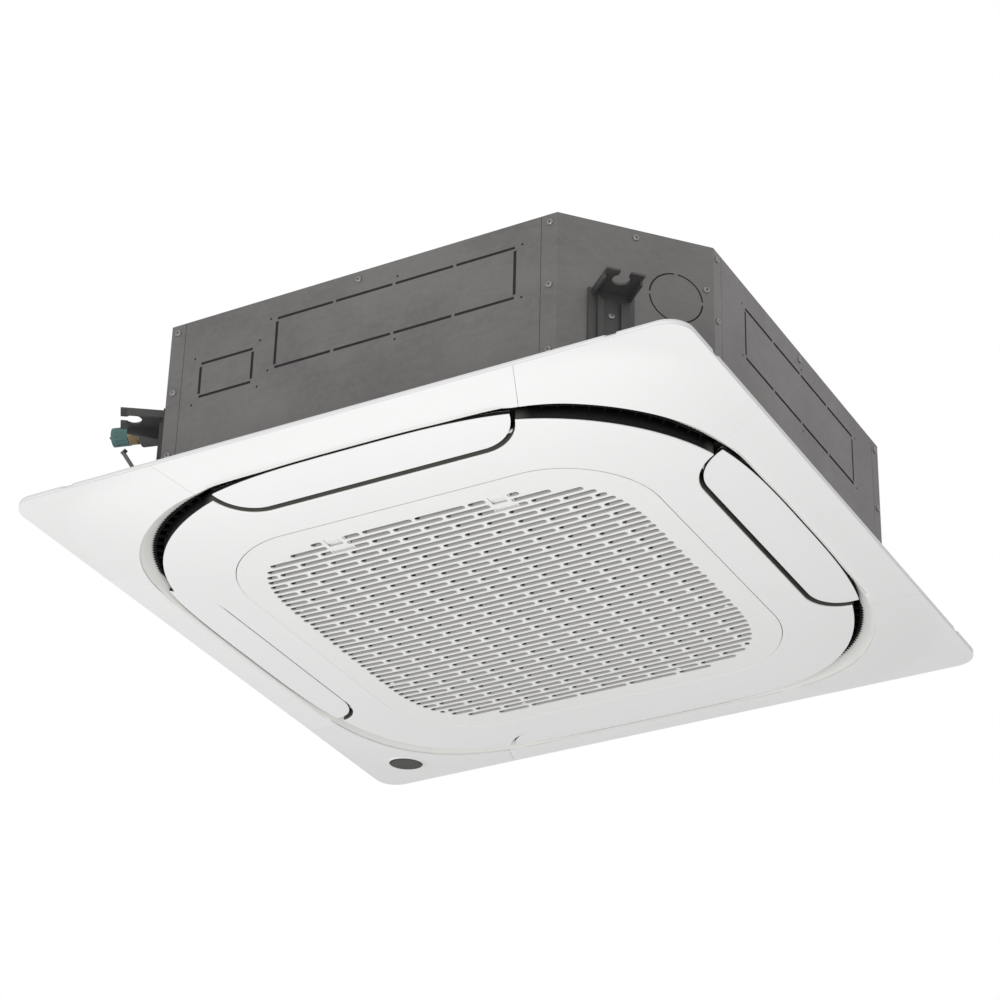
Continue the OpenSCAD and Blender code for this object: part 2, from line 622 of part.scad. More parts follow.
// corner of the panel between two slanted seams
seam_lean_share = 0.41;
module cover_sector(from) for (i = [0 : 3]) turned(i) let (w = panel_w, o = open_w / 2, q = o / 2,
    lean = seam_lean_share) linear_extrude(2 * w, center = true) polygon([[from - lean * (o - q), q],
    [from + lean * (w - o), w], [w, w], [w, from + lean * (w - o)], [q, from - lean * (o - q)]]);
module drain_pan() drop() color(off_white) {
    difference() {
        prism(body_line(screw_l + seat_gap), -body_drop, pan_h);
        rod(pan_hole_r, -body_drop - over, pan_h + over);
        ring(rounded(coil_half + trough_gap, coil_corner_r + trough_gap),
             rounded(coil_half - coil_t - trough_gap, coil_corner_r - coil_t - trough_gap), trough_z, pan_h + over);
        at_pump() rod(sump_r, sump_z, pan_h + over);
        for (i = [0 : 3]) turned(i) block([-outlet_half, outlet_half], [-outlet_out, -outlet_in],
            [-body_drop - over, pan_h + over]);
        intersection() {
            ring(squircle(corner_out_a, open_power), squircle(corner_in_a, open_power), -body_drop - over, pan_h + over);
            corner_sector(corner_from);
        }
        block([-box_half - seat_gap, box_half + seat_gap], [box_y[0] - seat_gap, box_y[1] + over],
              [-body_drop - over, box_z[1] + seat_gap]);
        translate([-plug_x, -plug_y, 0]) rod(plug_r + seat_gap / 3, -body_drop - over, pan_h);
    }
    for (i = [0 : 3]) turned(i) for (s = [-0.5, 0.5])
        block([s * coil_half - trough_gap, s * coil_half + trough_gap], [-coil_half, -coil_half + coil_t],
              [trough_z - over, coil_z]);
}
module pan_plug() drop() color(dark) translate([-plug_x, -plug_y, 0]) {
    rod(plug_r, -body_drop, trough_z);
    rod(plug_r + cover_in / 3, -body_drop - 2, -body_drop - seam / 4);
}
pump_r = 24;
pump_low = 34;
pump_high = 66;
chamber_r = 20;
chamber_low = 38;
chamber_top = 60;
column_r = 12;
flange_z = 92;
flange_t = 3;
pump_shaft_r = 2;
pump_motor_r = 26;
pump_motor_h = 35;
stem_x = 228;
stem_y = 283;
module at_stem() translate([-stem_x, -stem_y, 0]) children();
hose_r = 7;
outlet_z = 49;
riser_x = 290;
crest_z = 186;
module pump_body() drop() color(white) difference() {
    at_pump() difference() {
        union() {
            rod(pump_r, pump_low, pump_high);
            rod(column_r, pump_high - over, flange_z);
            block([-pump_motor_r, pump_at - coil_end - plate_t - seat_gap],
                  [-coil_t - over, pump_motor_r], [flange_z, flange_z + flange_t]);
        }
        rod(chamber_r, chamber_low, chamber_top);
        rod(column_r * 0.7, pump_low - over, chamber_low + over);
        rod(pump_shaft_r + run_gap, chamber_top - over, flange_z + flange_t + over);
    }
    at_stem() rod(stem_r + seam / 4, flange_z - over, flange_z + flange_t + over);
}
stem_r = 3;
stem_low = 30;
float_r = 9.5;
float_h = 16;
module pump_motor() drop() color(dark) at_pump() difference() {
    rod(pump_motor_r, flange_z + flange_t, flange_z + flange_t + pump_motor_h);
    rod(pump_shaft_r + run_gap, flange_z, flange_z + flange_t + pump_motor_h * 0.6);
}
vane_count = 4;
vane_t = 1.5;
wheel_r = 17;
module pump_impeller() drop() color("orange") at_pump() {
    rod(pump_shaft_r, chamber_low + over, flange_z + flange_t + pump_motor_h / 2);
    rod(wheel_r, chamber_top - 3 * over, chamber_top - over);
    for (i = [0 : vane_count - 1]) rotate([0, 0, 180 * i / vane_count])
        block([-wheel_r, wheel_r], [-vane_t / 2, vane_t / 2], [chamber_low + over, chamber_top - 2 * over]);
}
module float_stem() drop() color(white) at_stem() {
    rod(stem_r, stem_low, flange_z + flange_t);
    rod(2 * stem_r, stem_low, stem_low + stem_r);
    rod(2 * stem_r, flange_z + flange_t, flange_z + flange_t + stem_r);
}
float_low = stem_low + stem_r + seat_gap;
module pump_float() drop() color("orange") at_stem()
    tube(float_r, stem_r + run_gap, float_low, float_low + float_h);
socket_in = 22;                  // reach of the drain socket inside the sheet
socket_out = 52;
hose_x = 364;
module drain_hose() drop() color(grey) difference() {
    run([[-pump_at - pump_r, -pump_at, outlet_z], [-riser_x, -pump_at, outlet_z], [-riser_x, -pump_at, crest_z],
         [-hose_x, -pump_at, crest_z], [-hose_x, -drain_at, crest_z], [-hose_x, -drain_at, drain_z],
         [-body_half + socket_in, -drain_at, drain_z]], hose_r);
    at_pump() rod(pump_r + seam / 4, 0, pump_high + over);
}
socket_wall = 3;
module drain_socket() drop() color(off_white) translate([0, -drain_at, drain_z]) {
    difference() {
        rod_x(drain_r, -body_half - socket_out, -body_half + socket_in - seam / 4, 0, 0);
        rod_x(drain_r - socket_wall, -body_half - socket_out - over, -body_half + socket_in - socket_wall, 0, 0);
    }
    difference() {
        rod_x(drain_r + socket_wall, -body_half - seam / 4 - socket_wall, -body_half - seam / 4, 0, 0);
        rod_x(drain_r - over, -body_half - socket_out, -body_half, 0, 0);
    }
}

// bell mouth, fan and motor

lip_round = 36;
bell_t = 2.5;
bell_low = -8.8;
bell_flange_r = 250;
throat_top = 66;
module bell_mouth() drop() color(off_white) rotate_extrude($fn = 96) {
    difference() {
        translate([throat_r + lip_round, bell_low + lip_round]) circle(lip_round, $fn = 96);
        translate([throat_r + lip_round, bell_low + lip_round]) circle(lip_round - bell_t, $fn = 96);
        translate([throat_r + lip_round, bell_low - over]) square([2 * lip_round, 3 * lip_round]);
        translate([throat_r - over, bell_low + lip_round]) square([2 * lip_round, 2 * lip_round]);
    }
    translate([throat_r, bell_low + lip_round]) square([bell_t, throat_top - bell_low - lip_round]);
    translate([throat_r + lip_round, bell_low]) square([bell_flange_r - throat_r - lip_round, bell_t]);
}
hub_top = 199;
hub_t = 3;
boss_r = 22;
boss_low = 118;
boss_top = 150;
dish_r = 80;
dish_out = 100;
blade_in = 150;
blade_out = 242;
blade_t = 5;
blade_sweep = 38;
blade_low = 84;
shroud_in = throat_r + 10;
shroud_wall = 2.5;
shroud_low = 58;
shroud_bend = 76.5;
shroud_mid = 88;
shroud_rim = 98;
shroud_neck = 8;
module shroud_line() polygon([[shroud_in, shroud_low], [shroud_in + shroud_wall, shroud_low],
    [shroud_in + shroud_wall, shroud_bend], [shroud_in + shroud_neck, shroud_mid - shroud_wall],
    [fan_r, shroud_rim], [fan_r, shroud_rim + shroud_wall], [shroud_in + shroud_neck, shroud_mid],
    [shroud_in, shroud_bend + over]]);
blade_steps = 6;
function blade_mid(s) = let (r = blade_in + (blade_out - blade_in) * s, t = -blade_sweep * s) [r * cos(t), r * sin(t), t];
function blade_side(k) = [for (i = [0 : blade_steps]) let (m = blade_mid(i / blade_steps),
    w = blade_t / 2 * (1 - pow(2 * i / blade_steps - 1, 2) * 0.7)) [m[0] + k * w * sin(-m[2] + 40), m[1] + k * w * cos(-m[2] + 40)]];
module blades() difference() {
    for (i = [0 : blade_count - 1]) rotate([0, 0, 360 * i / blade_count])
        prism(concat(blade_side(1), [for (j = [blade_steps : -1 : 0]) blade_side(-1)[j]]), blade_low, hub_top - hub_t / 2);
    rotate_extrude($fn = 96) polygon([[blade_in / 2, 0], [fan_r + over, 0], [fan_r + over, shroud_rim + shroud_wall + run_gap],
        [fan_r, shroud_rim + shroud_wall + run_gap], [shroud_in + shroud_neck, shroud_mid + run_gap],
        [shroud_in, shroud_bend + over + run_gap], [blade_in / 2, shroud_bend + over + run_gap]]);
}
module fan_wheel() drop() color(white) {
    rotate_extrude($fn = 96) {
        translate([shaft_r + run_gap / 2, boss_low]) square([boss_r - shaft_r, boss_top - boss_low]);
        translate([boss_r - over, boss_top - hub_t]) square([dish_r - boss_r + over, hub_t]);
        polygon([[dish_r - over, boss_top - hub_t], [dish_r + hub_t, boss_top - hub_t],
                 [dish_out + hub_t, hub_top - hub_t], [dish_out, hub_top], [dish_r - over, boss_top]]);
        translate([dish_out, hub_top - hub_t]) square([fan_r - dish_out, hub_t]);
    }
    blades();
}
module fan_shroud() drop() color(white) rotate_extrude($fn = 96) shroud_line();
fan_nut_h = 8;
fan_nut_r = 10;
module fan_nut() drop() color("silver") difference() {
    translate([0, 0, boss_low - fan_nut_h - seam / 4]) cylinder(r = fan_nut_r, h = fan_nut_h, $fn = 6);
    rod(shaft_r + run_gap / 2, boss_low - fan_nut_h - over, boss_low);
}
motor_low = 156;
motor_top = 222;
ear_z = 208;
ear_t = 4;
ear_w = 24;
stud_at = 84;
stud_r = 3;
nut_h = 5;
stud_nut_r = 7;
rotor_r = 42;
rotor_low = 172;
rotor_top = 200;
air_gap = 1;
bearing_r = 14;
bearing_h = 10;
bearing_low = 158;
bearing_high = 204;
module motor_case() drop() color("silver") difference() {
    union() {
        rod(motor_r, motor_low, motor_top);
        for (i = [0 : 3]) rotate([0, 0, 45 + 90 * i]) block([motor_r - 2 * over, stud_at + stud_nut_r + over],
            [-ear_w / 2, ear_w / 2], [ear_z, ear_z + ear_t]);
    }
    rod(rotor_r + air_gap, rotor_low - air_gap, rotor_top + air_gap);
    for (z = [bearing_low, bearing_high]) rod(bearing_r + run_gap / 2, z, z + bearing_h);
    rod(shaft_r + air_gap, motor_low - over, bearing_high + bearing_h);
    for (i = [0 : 3]) rotate([0, 0, 45 + 90 * i]) translate([stud_at, 0, 0])
        rod(stud_r + seat_gap, ear_z - over, ear_z + ear_t + over);
}
module motor_rotor() drop() color(dark) tube(rotor_r, shaft_r + run_gap / 2, rotor_low, rotor_top);
module motor_shaft() drop() color("silver") rod(shaft_r, boss_low - fan_nut_h - 2 * over, bearing_high + bearing_h - over);
module motor_bearings() drop() color("silver") for (z = [bearing_low, bearing_high])
    tube(bearing_r, shaft_r + run_gap, z, z + bearing_h);
mount_r = 9;
module motor_mounts() drop() color(dark) for (i = [0 : 3]) rotate([0, 0, 45 + 90 * i]) translate([stud_at, 0, 0])
    tube(mount_r, stud_r + run_gap, ear_z + ear_t, top_z);

// control box under the drain pan

box_wall = 1.2;
lid_t = 1.5;
board_z = 6;
board_t = 1.6;
post_r = 3;
board_left = -130;
board_right = 70;
module control_box() drop() color(steel) {
    difference() {
        block([-box_half, box_half], box_y, box_z);
        block([-box_half + box_wall, box_half - box_wall], [box_y[0] + box_wall, box_y[1] - box_wall],
              [box_z[0] - over, box_z[1] - box_wall]);
    }
    for (x = [board_left, board_right], y = box_y) translate([x + (x < 0 ? 3 : -3) * post_r, y + (y == box_y[0] ? 4 : -4) * post_r, 0])
        rod(post_r, board_z + board_t, box_z[1] - box_wall / 2);
}
module control_lid() drop() color(steel)
    block([-box_half, box_half], box_y, [box_z[0] - lid_t - seam / 4, box_z[0] - seam / 4]);
module circuit_board() drop() color("darkgreen") {
    block([board_left, board_right], [box_y[0] + 3 * box_wall, box_y[1] - 3 * box_wall], [board_z, board_z + board_t]);
    for (i = [0 : 3]) block([board_left + 30 * i + 20 * box_wall, board_left + 30 * i + 32 * box_wall],
        [box_y[0] + 24 * box_wall, box_y[0] + 40 * box_wall], [board_z - 8 * box_wall, board_z + board_t / 2]);
}
module terminal_block() drop() color("ivory") difference() {
    block([board_right + 15 * box_wall, box_half - 10 * box_wall], [box_y[0] + 20 * box_wall, box_y[1] - 20 * box_wall],
          [box_z[1] - 16 * box_wall, box_z[1] - box_wall]);
    for (i = [0 : 2]) block([board_right + (20 + 12 * i) * box_wall, board_right + (28 + 12 * i) * box_wall],
        [box_y[0] + 24 * box_wall, box_y[1] - 24 * box_wall], [box_z[1] - 18 * box_wall, box_z[1] - 12 * box_wall]);
}

// panel

collar_top = -9;
boss_floor = 3;
screw_boss_r = 9;
panel_screw_r = 3;
panel_screw_head_r = 5.5;
head_h = 4;
notch_at = 385;
notch_w = 14;
notch_in = 3;
sub_lift = cover_t + seat_gap;
sub_t = 2.5;
function foot(c) = let (n = corner_n(c[2]), s = [c[0] * (seat_dx / 2 - n[0] * foot_hole_at),
    c[1] * (seat_dy / 2 - n[1] * foot_hole_at)]) s;
module at_feet() for (c = corners) translate([foot(c)[0], foot(c)[1], 0]) children();
module panel_outline(z0, z1, in) prism(rounded(panel_half - in, panel_corner_r - in / 2), z0, z1);
module collar(a, p, t) ring(squircle(a + t, p), squircle(a, p), -panel_drop, collar_top);
module panel_frame() drop() color(white) difference() {
    intersection() {
        union() {
            shell(0, skin_t);
            intersection() {
                shell(sub_lift, sub_lift + sub_t);
                cover_sector(cover_seam - 2 * skin_t);
            }
            collar(open_w / 2, open_power, skin_t);
            difference() {
                panel_outline(-panel_drop, 0, 0);
                panel_outline(-panel_drop - over, over, rim_w);
            }
            at_feet() rod(screw_boss_r, -panel_drop, collar_top);
            hook_seats();
        }
        above_face(0);
        panel_outline(-panel_drop, hook_pivot_z + 3 * hook_r, 0);
    }
    prism(squircle(open_w / 2, open_power), -panel_drop - over, over);
    difference() {
        cover_sector(cover_seam);
        above_face(sub_lift);
    }
    at_feet() rod(panel_screw_head_r + over, -panel_drop - over, collar_top - boss_floor);
    at_feet() rod(panel_screw_r + seat_gap, -panel_drop, 0);
    rim_notches();
}
module rim_notches() for (i = [0 : 3], s = [-1, 1]) turned(i)
    block([s * notch_at - notch_w / 2, s * notch_at + notch_w / 2], [-panel_half - over, -panel_half + notch_in],
          [-rim_depth / 2, over]);
module corner_covers() drop() color(white) difference() {
    intersection() {
        shell(0, cover_t);
        cover_sector(cover_seam + seam);
        panel_outline(-panel_drop, 0, 0);
    }
    prism(squircle(open_w / 2, open_power), -panel_drop - over, over);
    translate([-sensor_at, sensor_at, 0]) rod(sensor_r, -panel_drop, 0);
    rim_notches();
}
module sensor_window() drop() color(dark) intersection() {
    shell(0, cover_t);
    translate([-sensor_at, sensor_at, 0]) rod(sensor_r - seam / 3, -panel_drop, 0);
}

// outline of a flap, and of the notch that it lies in
function flap_line(in, half, r) = concat([[half, -in - 2 * r], [-half, -in - 2 * r]],
    [for (p = arc(-half + r, -in - r, r, 180, 90, 9)) p], [for (p = arc(half - r, -in - r, r, 90, 0, 9)) p]);
centre_wall = 3;
notch_edge = flap_in - flap_gap;
web_at = 166;                    // bridge over the outlet that carries the flap hinge
web_t = 6;
web_low = -14;
lug_r = 5;
arm_at = 157;                    // arm of the flap
pin_end = 206;
flap_edge_t = 2;
axis_y = -flap_in - flap_axis_in;
function side(s, from, w) = s > 0 ? [from, from + w] : [-from - w, -from];
module rod_between(r, x) rod_x(r, x[0], x[1], axis_y, -flap_axis_z);
module flap_outline(in) intersection() {
    prism(flap_line(flap_in + in, flap_half - in, flap_r - in), -panel_drop - over, over);
    prism(squircle(open_w / 2 - flap_side_gap - in, open_power), -panel_drop - over, over);
}
module flap(i) drop() color(white) turned(i) {
    intersection() {
        shell(flap_lift, flap_lift + flap_t);
        flap_outline(0);
    }
    intersection() {
        shell(flap_lift, flap_lift + flap_edge_h);
        difference() {
            flap_outline(0);
            flap_outline(flap_edge_t);
        }
        under(web_low - 2 * seat_gap);
    }
    for (s = [-1, 1]) {
        intersection() {
            union() {
                block(side(s, arm_at, web_t), [axis_y - 2 * lug_r, axis_y + lug_r / 2], [-panel_drop, -flap_axis_z]);
                rod_between(lug_r, side(s, arm_at, web_t));
            }
            above_face(flap_lift + flap_t / 2);
        }
        rod_between(flap_pin_r, side(s, arm_at, pin_end - arm_at));
    }
}
module flap_front() flap(0);
module flap_right() flap(1);
module flap_back() flap(2);
module flap_left() flap(3);
motor_in = 6;                    // middle of a flap motor, inwards from the hinge
motor_from = 200.4;
module flap_motor_body(grow) rod_x(flap_motor_r + grow, motor_from - grow, motor_from + flap_motor_l + grow,
    axis_y + motor_in, -flap_axis_z);
module flap_motors() drop() color(dark) for (i = [0 : 3]) turned(i) difference() {
    flap_motor_body(0);
    rod_x(flap_pin_r + run_gap, motor_from - over, pin_end + over, axis_y, -flap_axis_z);
}
module centre_outline(in) difference() {
    prism(squircle(centre_w / 2 - in, centre_power), -panel_drop - over, 0);
    for (i = [0 : 3]) turned(i)
        prism(flap_line(notch_edge - in, flap_half + flap_gap + in, flap_r + flap_gap + in), -panel_drop - 2 * over, over);
}
suction_in = grille_half + grille_gap + 3;
suction_wall = 3;
ear_out = 10;
ear_gap = 0.4;
knuckle_half = 5.6;
stem_w = 4;
ear_r = 2.5;
stem_front = 3.5;                // faces of a hanger's stem, from the hinge axis
stem_behind = 1.5;
guide_z = -27.2;                 // underside of the guide that a stem slides in
guide_h = 3.5;
guide_wall = 2.5;
hanger_drop = 10;                // how far the hangers let the grille down
stop_h = 2;
stop_z = guide_z + guide_h + hanger_drop + seat_gap;
module box_space() block([-box_half - seat_gap, box_half + seat_gap], [box_y[0] - seat_gap, box_y[1] + over],
    [box_z[0] - lid_t - 2 * seat_gap, box_z[1] + seat_gap]);
module panel_centre() drop() color(white) difference() {
    union() {
        intersection() {
            shell(0, skin_t + seat_gap);
            centre_outline(0);
        }
        intersection() {
            difference() {
                centre_outline(0);
                centre_outline(centre_wall);
            }
            above_face(0);
            under(collar_top);
        }
        intersection() {
            ring(rounded(suction_in + suction_wall, grille_corner_r + suction_wall), rounded(suction_in, grille_corner_r),
                 -panel_drop, collar_top);
            above_face(0);
        }
        for (i = [0 : 3], s = [-1, 1]) turned(i) {
            intersection() {
                block(side(s, web_at, web_t), [-open_w / 2, -notch_edge + centre_wall / 2], [web_low, collar_top]);
                prism(squircle(open_w / 2 - seat_gap, open_power), -panel_drop, 0);
            }
            block(side(s, web_at, web_t), [axis_y - lug_r, axis_y + lug_r], [-flap_axis_z, web_low + over]);
            rod_between(lug_r, side(s, web_at, web_t));
        }
        at_stems() block([-stem_w / 2 - guide_wall, stem_w / 2 + guide_wall],
            [hinge_y - stem_front - guide_wall, suction_in + over], [guide_z, guide_z + guide_h]);
    }
    at_stems() stem_shape(seat_gap);
    box_space();
    prism(rounded(grille_half + grille_gap, grille_corner_r + grille_gap), -panel_drop - over, -hinge_z - 2 * seat_gap - suction_wall / 2);
    for (i = [0 : 3]) turned(i) {
        flap_motor_body(ear_gap);
        for (s = [-1, 1]) rod_between(flap_pin_r + run_gap, side(s, web_at - over, pin_end - web_at + 2 * over));
    }
}
pin_r = 1.5;
module at_stems() for (s = [-1, 1], t = [-1, 1])
    translate([s * hinge_x + t * (knuckle_half + ear_gap + stem_w / 2), 0, 0]) children();
module stem_shape(grow) block([-stem_w / 2 - grow, stem_w / 2 + grow],
    [hinge_y - stem_front - grow, hinge_y + stem_behind + grow], [-hinge_z, stop_z + stop_h]);
// hangers that slide down in their guides as the grille swings open
module grille_hangers() drop() color("silver") {
    for (s = [-1, 1]) rod_x(pin_r, s * hinge_x - ear_out, s * hinge_x + ear_out, hinge_y, -hinge_z);
    at_stems() {
        rod_x(ear_r, -stem_w / 2, stem_w / 2, hinge_y, -hinge_z);
        stem_shape(0);
        block([-stem_w / 2 - stop_h / 2, stem_w / 2 + stop_h / 2],
              [hinge_y - stem_front - stop_h / 2, hinge_y + stem_behind + stop_h / 2], [stop_z, stop_z + stop_h]);
    }
}

// comb inserts in the corner outlets
comb_t = 1.2;
comb_tooth = 1.6;
comb_gap = 0.6;
comb_steps = 44;
comb_from = 33;
comb_high = -12;
function comb_line() = concat(
    [for (i = [0 : 12]) let (t = comb_from + (90 - 2 * comb_from) * i / 12) squircle_r(open_w / 2, open_power, t) * [cos(t), sin(t)]],
    [for (i = [comb_steps : -1 : 0]) let (t = comb_from + (90 - 2 * comb_from) * i / comb_steps,
        r = squircle_r(open_w / 2 - comb_gap, open_power, t) - comb_t - (i % 2) * comb_tooth) r * [cos(t), sin(t)]]);
comb_low = 5;
module outlet_ribs() drop() color(dark) intersection() {
    prism(squircle(open_w / 2 - comb_gap, open_power), -panel_drop, 0);
    for (i = [0 : 3]) turned(i) prism(comb_line(), -panel_drop, comb_high);
    above_face(comb_low);
}

// suction grille
rows = 44;
rib_in = 10.2;                   // rib behind the grille, inwards from its edge
rib_half = grille_half - rib_in;
rib_t = 3;
post_in = 34;
post_side = 120;
post_far = rib_half - post_in;
post_at = [[post_far, post_side], [post_far, -post_side], [-post_far, post_side], [-post_far, -post_side],
           [post_side, post_far], [-post_side, post_far]];
function row_y(i) = (i - (rows - 1) / 2) * slot_pitch;
function row_reach(y) = field_half * pow(max(0, 1 - pow(abs(y) / field_half, field_power)), 1 / field_power);
module slot_rows() for (i = [0 : rows - 1]) let (y = row_y(i), h = row_reach(y), o = (i % 2) * slot_step / 2)
    for (k = [-4 : 4]) let (a = max(-h, k * slot_step + o - slot_step + slot_bridge / 2), b = min(h, k * slot_step + o - slot_bridge / 2))
        if (b - a > slot_w) if (!(i == 0 && min(abs(a), abs(b)) < latch_x + latch_w && max(abs(a), abs(b)) > latch_x - latch_w))
            block([a, b], [y - slot_w / 2, y + slot_w / 2], [-panel_drop - over, -hinge_z]);
guide_x = latch_w / 2 + 5.5;
guide_t = 2;
module suction_grille() drop() color(white) difference() {
    union() {
        intersection() {
            shell(0, flap_t);
            prism(rounded(grille_half, grille_corner_r), -panel_drop - over, 0);
        }
        intersection() {
            union() {
                ring(rounded(rib_half, grille_corner_r - over), rounded(rib_half - rib_t, grille_corner_r - over - rib_t), -panel_drop, filter_z - seat_gap);
                for (p = post_at) translate([p[0], p[1], 0]) rod(post_r, -panel_drop, filter_z - seat_gap);
                for (s = [-1, 1]) {
                    block([s * hinge_x - knuckle_half, s * hinge_x + knuckle_half], [hinge_y - knuckle_r, hinge_y + knuckle_r],
                          [-panel_drop, -hinge_z]);
                    rod_x(knuckle_r, s * hinge_x - knuckle_half, s * hinge_x + knuckle_half, hinge_y, -hinge_z);
                    for (t = [-1, 1]) translate([s * latch_x + t * (guide_x + guide_t / 2), 0, 0])
                        block([-guide_t / 2, guide_t / 2], [latch_y[0], latch_y[1]], [-panel_drop, filter_z - seat_gap]);
                }
            }
            above_face(flap_t / 2);
        }
    }
    slot_rows();
    for (s = [-1, 1]) {
        rod_x(pin_r + run_gap, s * hinge_x - ear_out, s * hinge_x + ear_out, hinge_y, -hinge_z);
        block([s * latch_x - latch_w / 2 - seam, s * latch_x + latch_w / 2 + seam],
              [tab_y[0] - seam, tab_y[1] + latch_travel + seam], [-panel_drop - over, -hinge_z]);
        block([s * latch_x - guide_x, s * latch_x + guide_x], [latch_y[0] - over, latch_y[1] + latch_travel + over],
              [latch_z - seat_gap, 0]);
    }
}
knuckle_r = 3.2;
latch_in = 2.2;
latch_l = 40;
tab_in = 30.2;
tab_l = 11;
latch_y = [-grille_half + latch_in, -grille_half + latch_in + latch_l];
tab_y = [-grille_half + tab_in, -grille_half + tab_in + tab_l];
latch_z = -38.4;
latch_t = 3.6;
module latch(s) drop() color(off_white) translate([s * latch_x, 0, 0]) {
    block([-guide_x + seat_gap, guide_x - seat_gap], latch_y, [latch_z, latch_z + latch_t]);
    intersection() {
        block([-latch_w / 2, latch_w / 2], tab_y, [-panel_drop, latch_z + over]);
        translate([-s * latch_x, 0, 0]) above_face(seat_gap);
    }
}
module latch_left() latch(-1);
module latch_right() latch(1);
filter_z = -33.9;
filter_t = 4;
filter_in = 26.8;
filter_front_in = 45;            // room for the latches
filter_x = rib_half - filter_in;
filter_y = [-rib_half + filter_front_in, filter_x];
filter_rim = 10;
filter_bar = 4;
mesh_t = 0.6;
filter_bar_shares = [-1 / 3, 0, 1 / 3];
module filter_slab(in, z0, z1) intersection() {
    block([-filter_x + in, filter_x - in], [filter_y[0] + in, filter_y[1] - in], [z0, z1]);
    prism(rounded(rib_half - 2 * rib_t - in, grille_corner_r - 2 * rib_t - in), z0, z1);
}
module filter_frame() drop() color(grey) difference() {
    union() {
        difference() {
            filter_slab(0, filter_z, filter_z + filter_t);
            filter_slab(filter_rim, filter_z - over, filter_z + filter_t + over);
        }
        for (s = filter_bar_shares) block([2 * s * filter_x - filter_bar / 2, 2 * s * filter_x + filter_bar / 2],
            [filter_y[0] + over, filter_y[1] - over], [filter_z, filter_z + filter_t]);
    }
    mesh_slab(seam / 4);
}
module mesh_slab(grow)
    filter_slab(filter_rim / 2 - grow, filter_z + filter_t / 2 - grow, filter_z + filter_t / 2 + mesh_t + grow);
module filter_mesh() drop() color("dimgray") mesh_slab(0);

// seals, panel screws and the panel's hanging hooks
module panel_seal() drop() color(dark) {
    ring(squircle(open_w / 2 + skin_t, open_power), squircle(open_w / 2 - skin_t, open_power), collar_top, -body_drop);
    difference() {
        ring(rounded(suction_in + suction_wall, grille_corner_r + suction_wall), rounded(suction_in, grille_corner_r),
             collar_top, -body_drop);
        box_space();
    }
}
module panel_screws() drop() color("silver") at_feet() {
    rod(panel_screw_head_r, collar_top - boss_floor - head_h - seam / 4, collar_top - boss_floor - seam / 4);
    rod(panel_screw_r, collar_top - boss_floor - over, foot_z + hook_t + 2 * over);
}
hook_x = 297;
hook_y = 441;
hook_lean = 33;
hook_len = 56;
hook_r = 2.6;
hook_pivot_z = 4;
hook_pin_r = 2;
hook_ear = 3.6;
hook_side_gap = 0.4;
module hook_seats() for (i = [0, 2]) turned(i) translate([-hook_x, -hook_y, 0]) {
    for (s = [-1, 1]) translate([0, s * (hook_r + hook_side_gap + hook_ear / 2), 0]) {
        block([-hook_ear, hook_ear], [-hook_ear / 2, hook_ear / 2], [-panel_drop, hook_pivot_z]);
        translate([0, 0, hook_pivot_z]) rotate([90, 0, 0]) cylinder(r = hook_ear, h = hook_ear, center = true, $fn = fine);
    }
    translate([0, 0, hook_pivot_z]) rotate([90, 0, 0])
        cylinder(r = hook_pin_r, h = 2 * (hook_r + hook_side_gap) + hook_ear, center = true, $fn = fine);
}
module panel_hook() translate([-hook_x, -hook_y, hook_pivot_z]) rotate([0, -hook_lean, 0]) {
    difference() {
        union() {
            rod(hook_r, 0, hook_len);
            rotate([90, 0, 0]) cylinder(r = 2 * hook_r, h = 2 * hook_r, center = true, $fn = fine);
            block([-hook_r, 2 * hook_r], [-hook_r, hook_r], [hook_len - hook_r, hook_len]);
        }
        rotate([90, 0, 0]) cylinder(r = hook_pin_r + run_gap, h = 4 * hook_r, center = true, $fn = fine);
    }
}
module hook_left() drop() color(dark) panel_hook();
module hook_right() drop() color(dark) turned(2) panel_hook();

top_plate();
front_sheet();
right_sheet();
back_sheet();
left_sheet();
corner_sheets();
hanger_brackets();
casing_screws();
insulation();
coil_fins();
coil_end_plates();
coil_return_bends();
gas_pipe();
liquid_pipe();
flare_nuts();
flare_caps();
pipe_sleeves();
pipe_cover();
drain_pan();
pan_plug();
pump_body();
pump_motor();
pump_impeller();
float_stem();
pump_float();
drain_hose();
drain_socket();
bell_mouth();
fan_wheel();
fan_shroud();
fan_nut();
motor_case();
motor_rotor();
motor_shaft();
motor_bearings();
motor_mounts();
control_box();
control_lid();
circuit_board();
terminal_block();
panel_frame();
corner_covers();
panel_centre();
flap_front();
flap_right();
flap_back();
flap_left();
flap_motors();
outlet_ribs();
suction_grille();
grille_hangers();
latch_left();
latch_right();
filter_frame();
filter_mesh();
sensor_window();
panel_seal();
panel_screws();
hook_left();
hook_right();
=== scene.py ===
import json
import math
import bmesh
import bpy
import numpy as np
from mathutils import Matrix, Vector
from mathutils.geometry import delaunay_2d_cdt

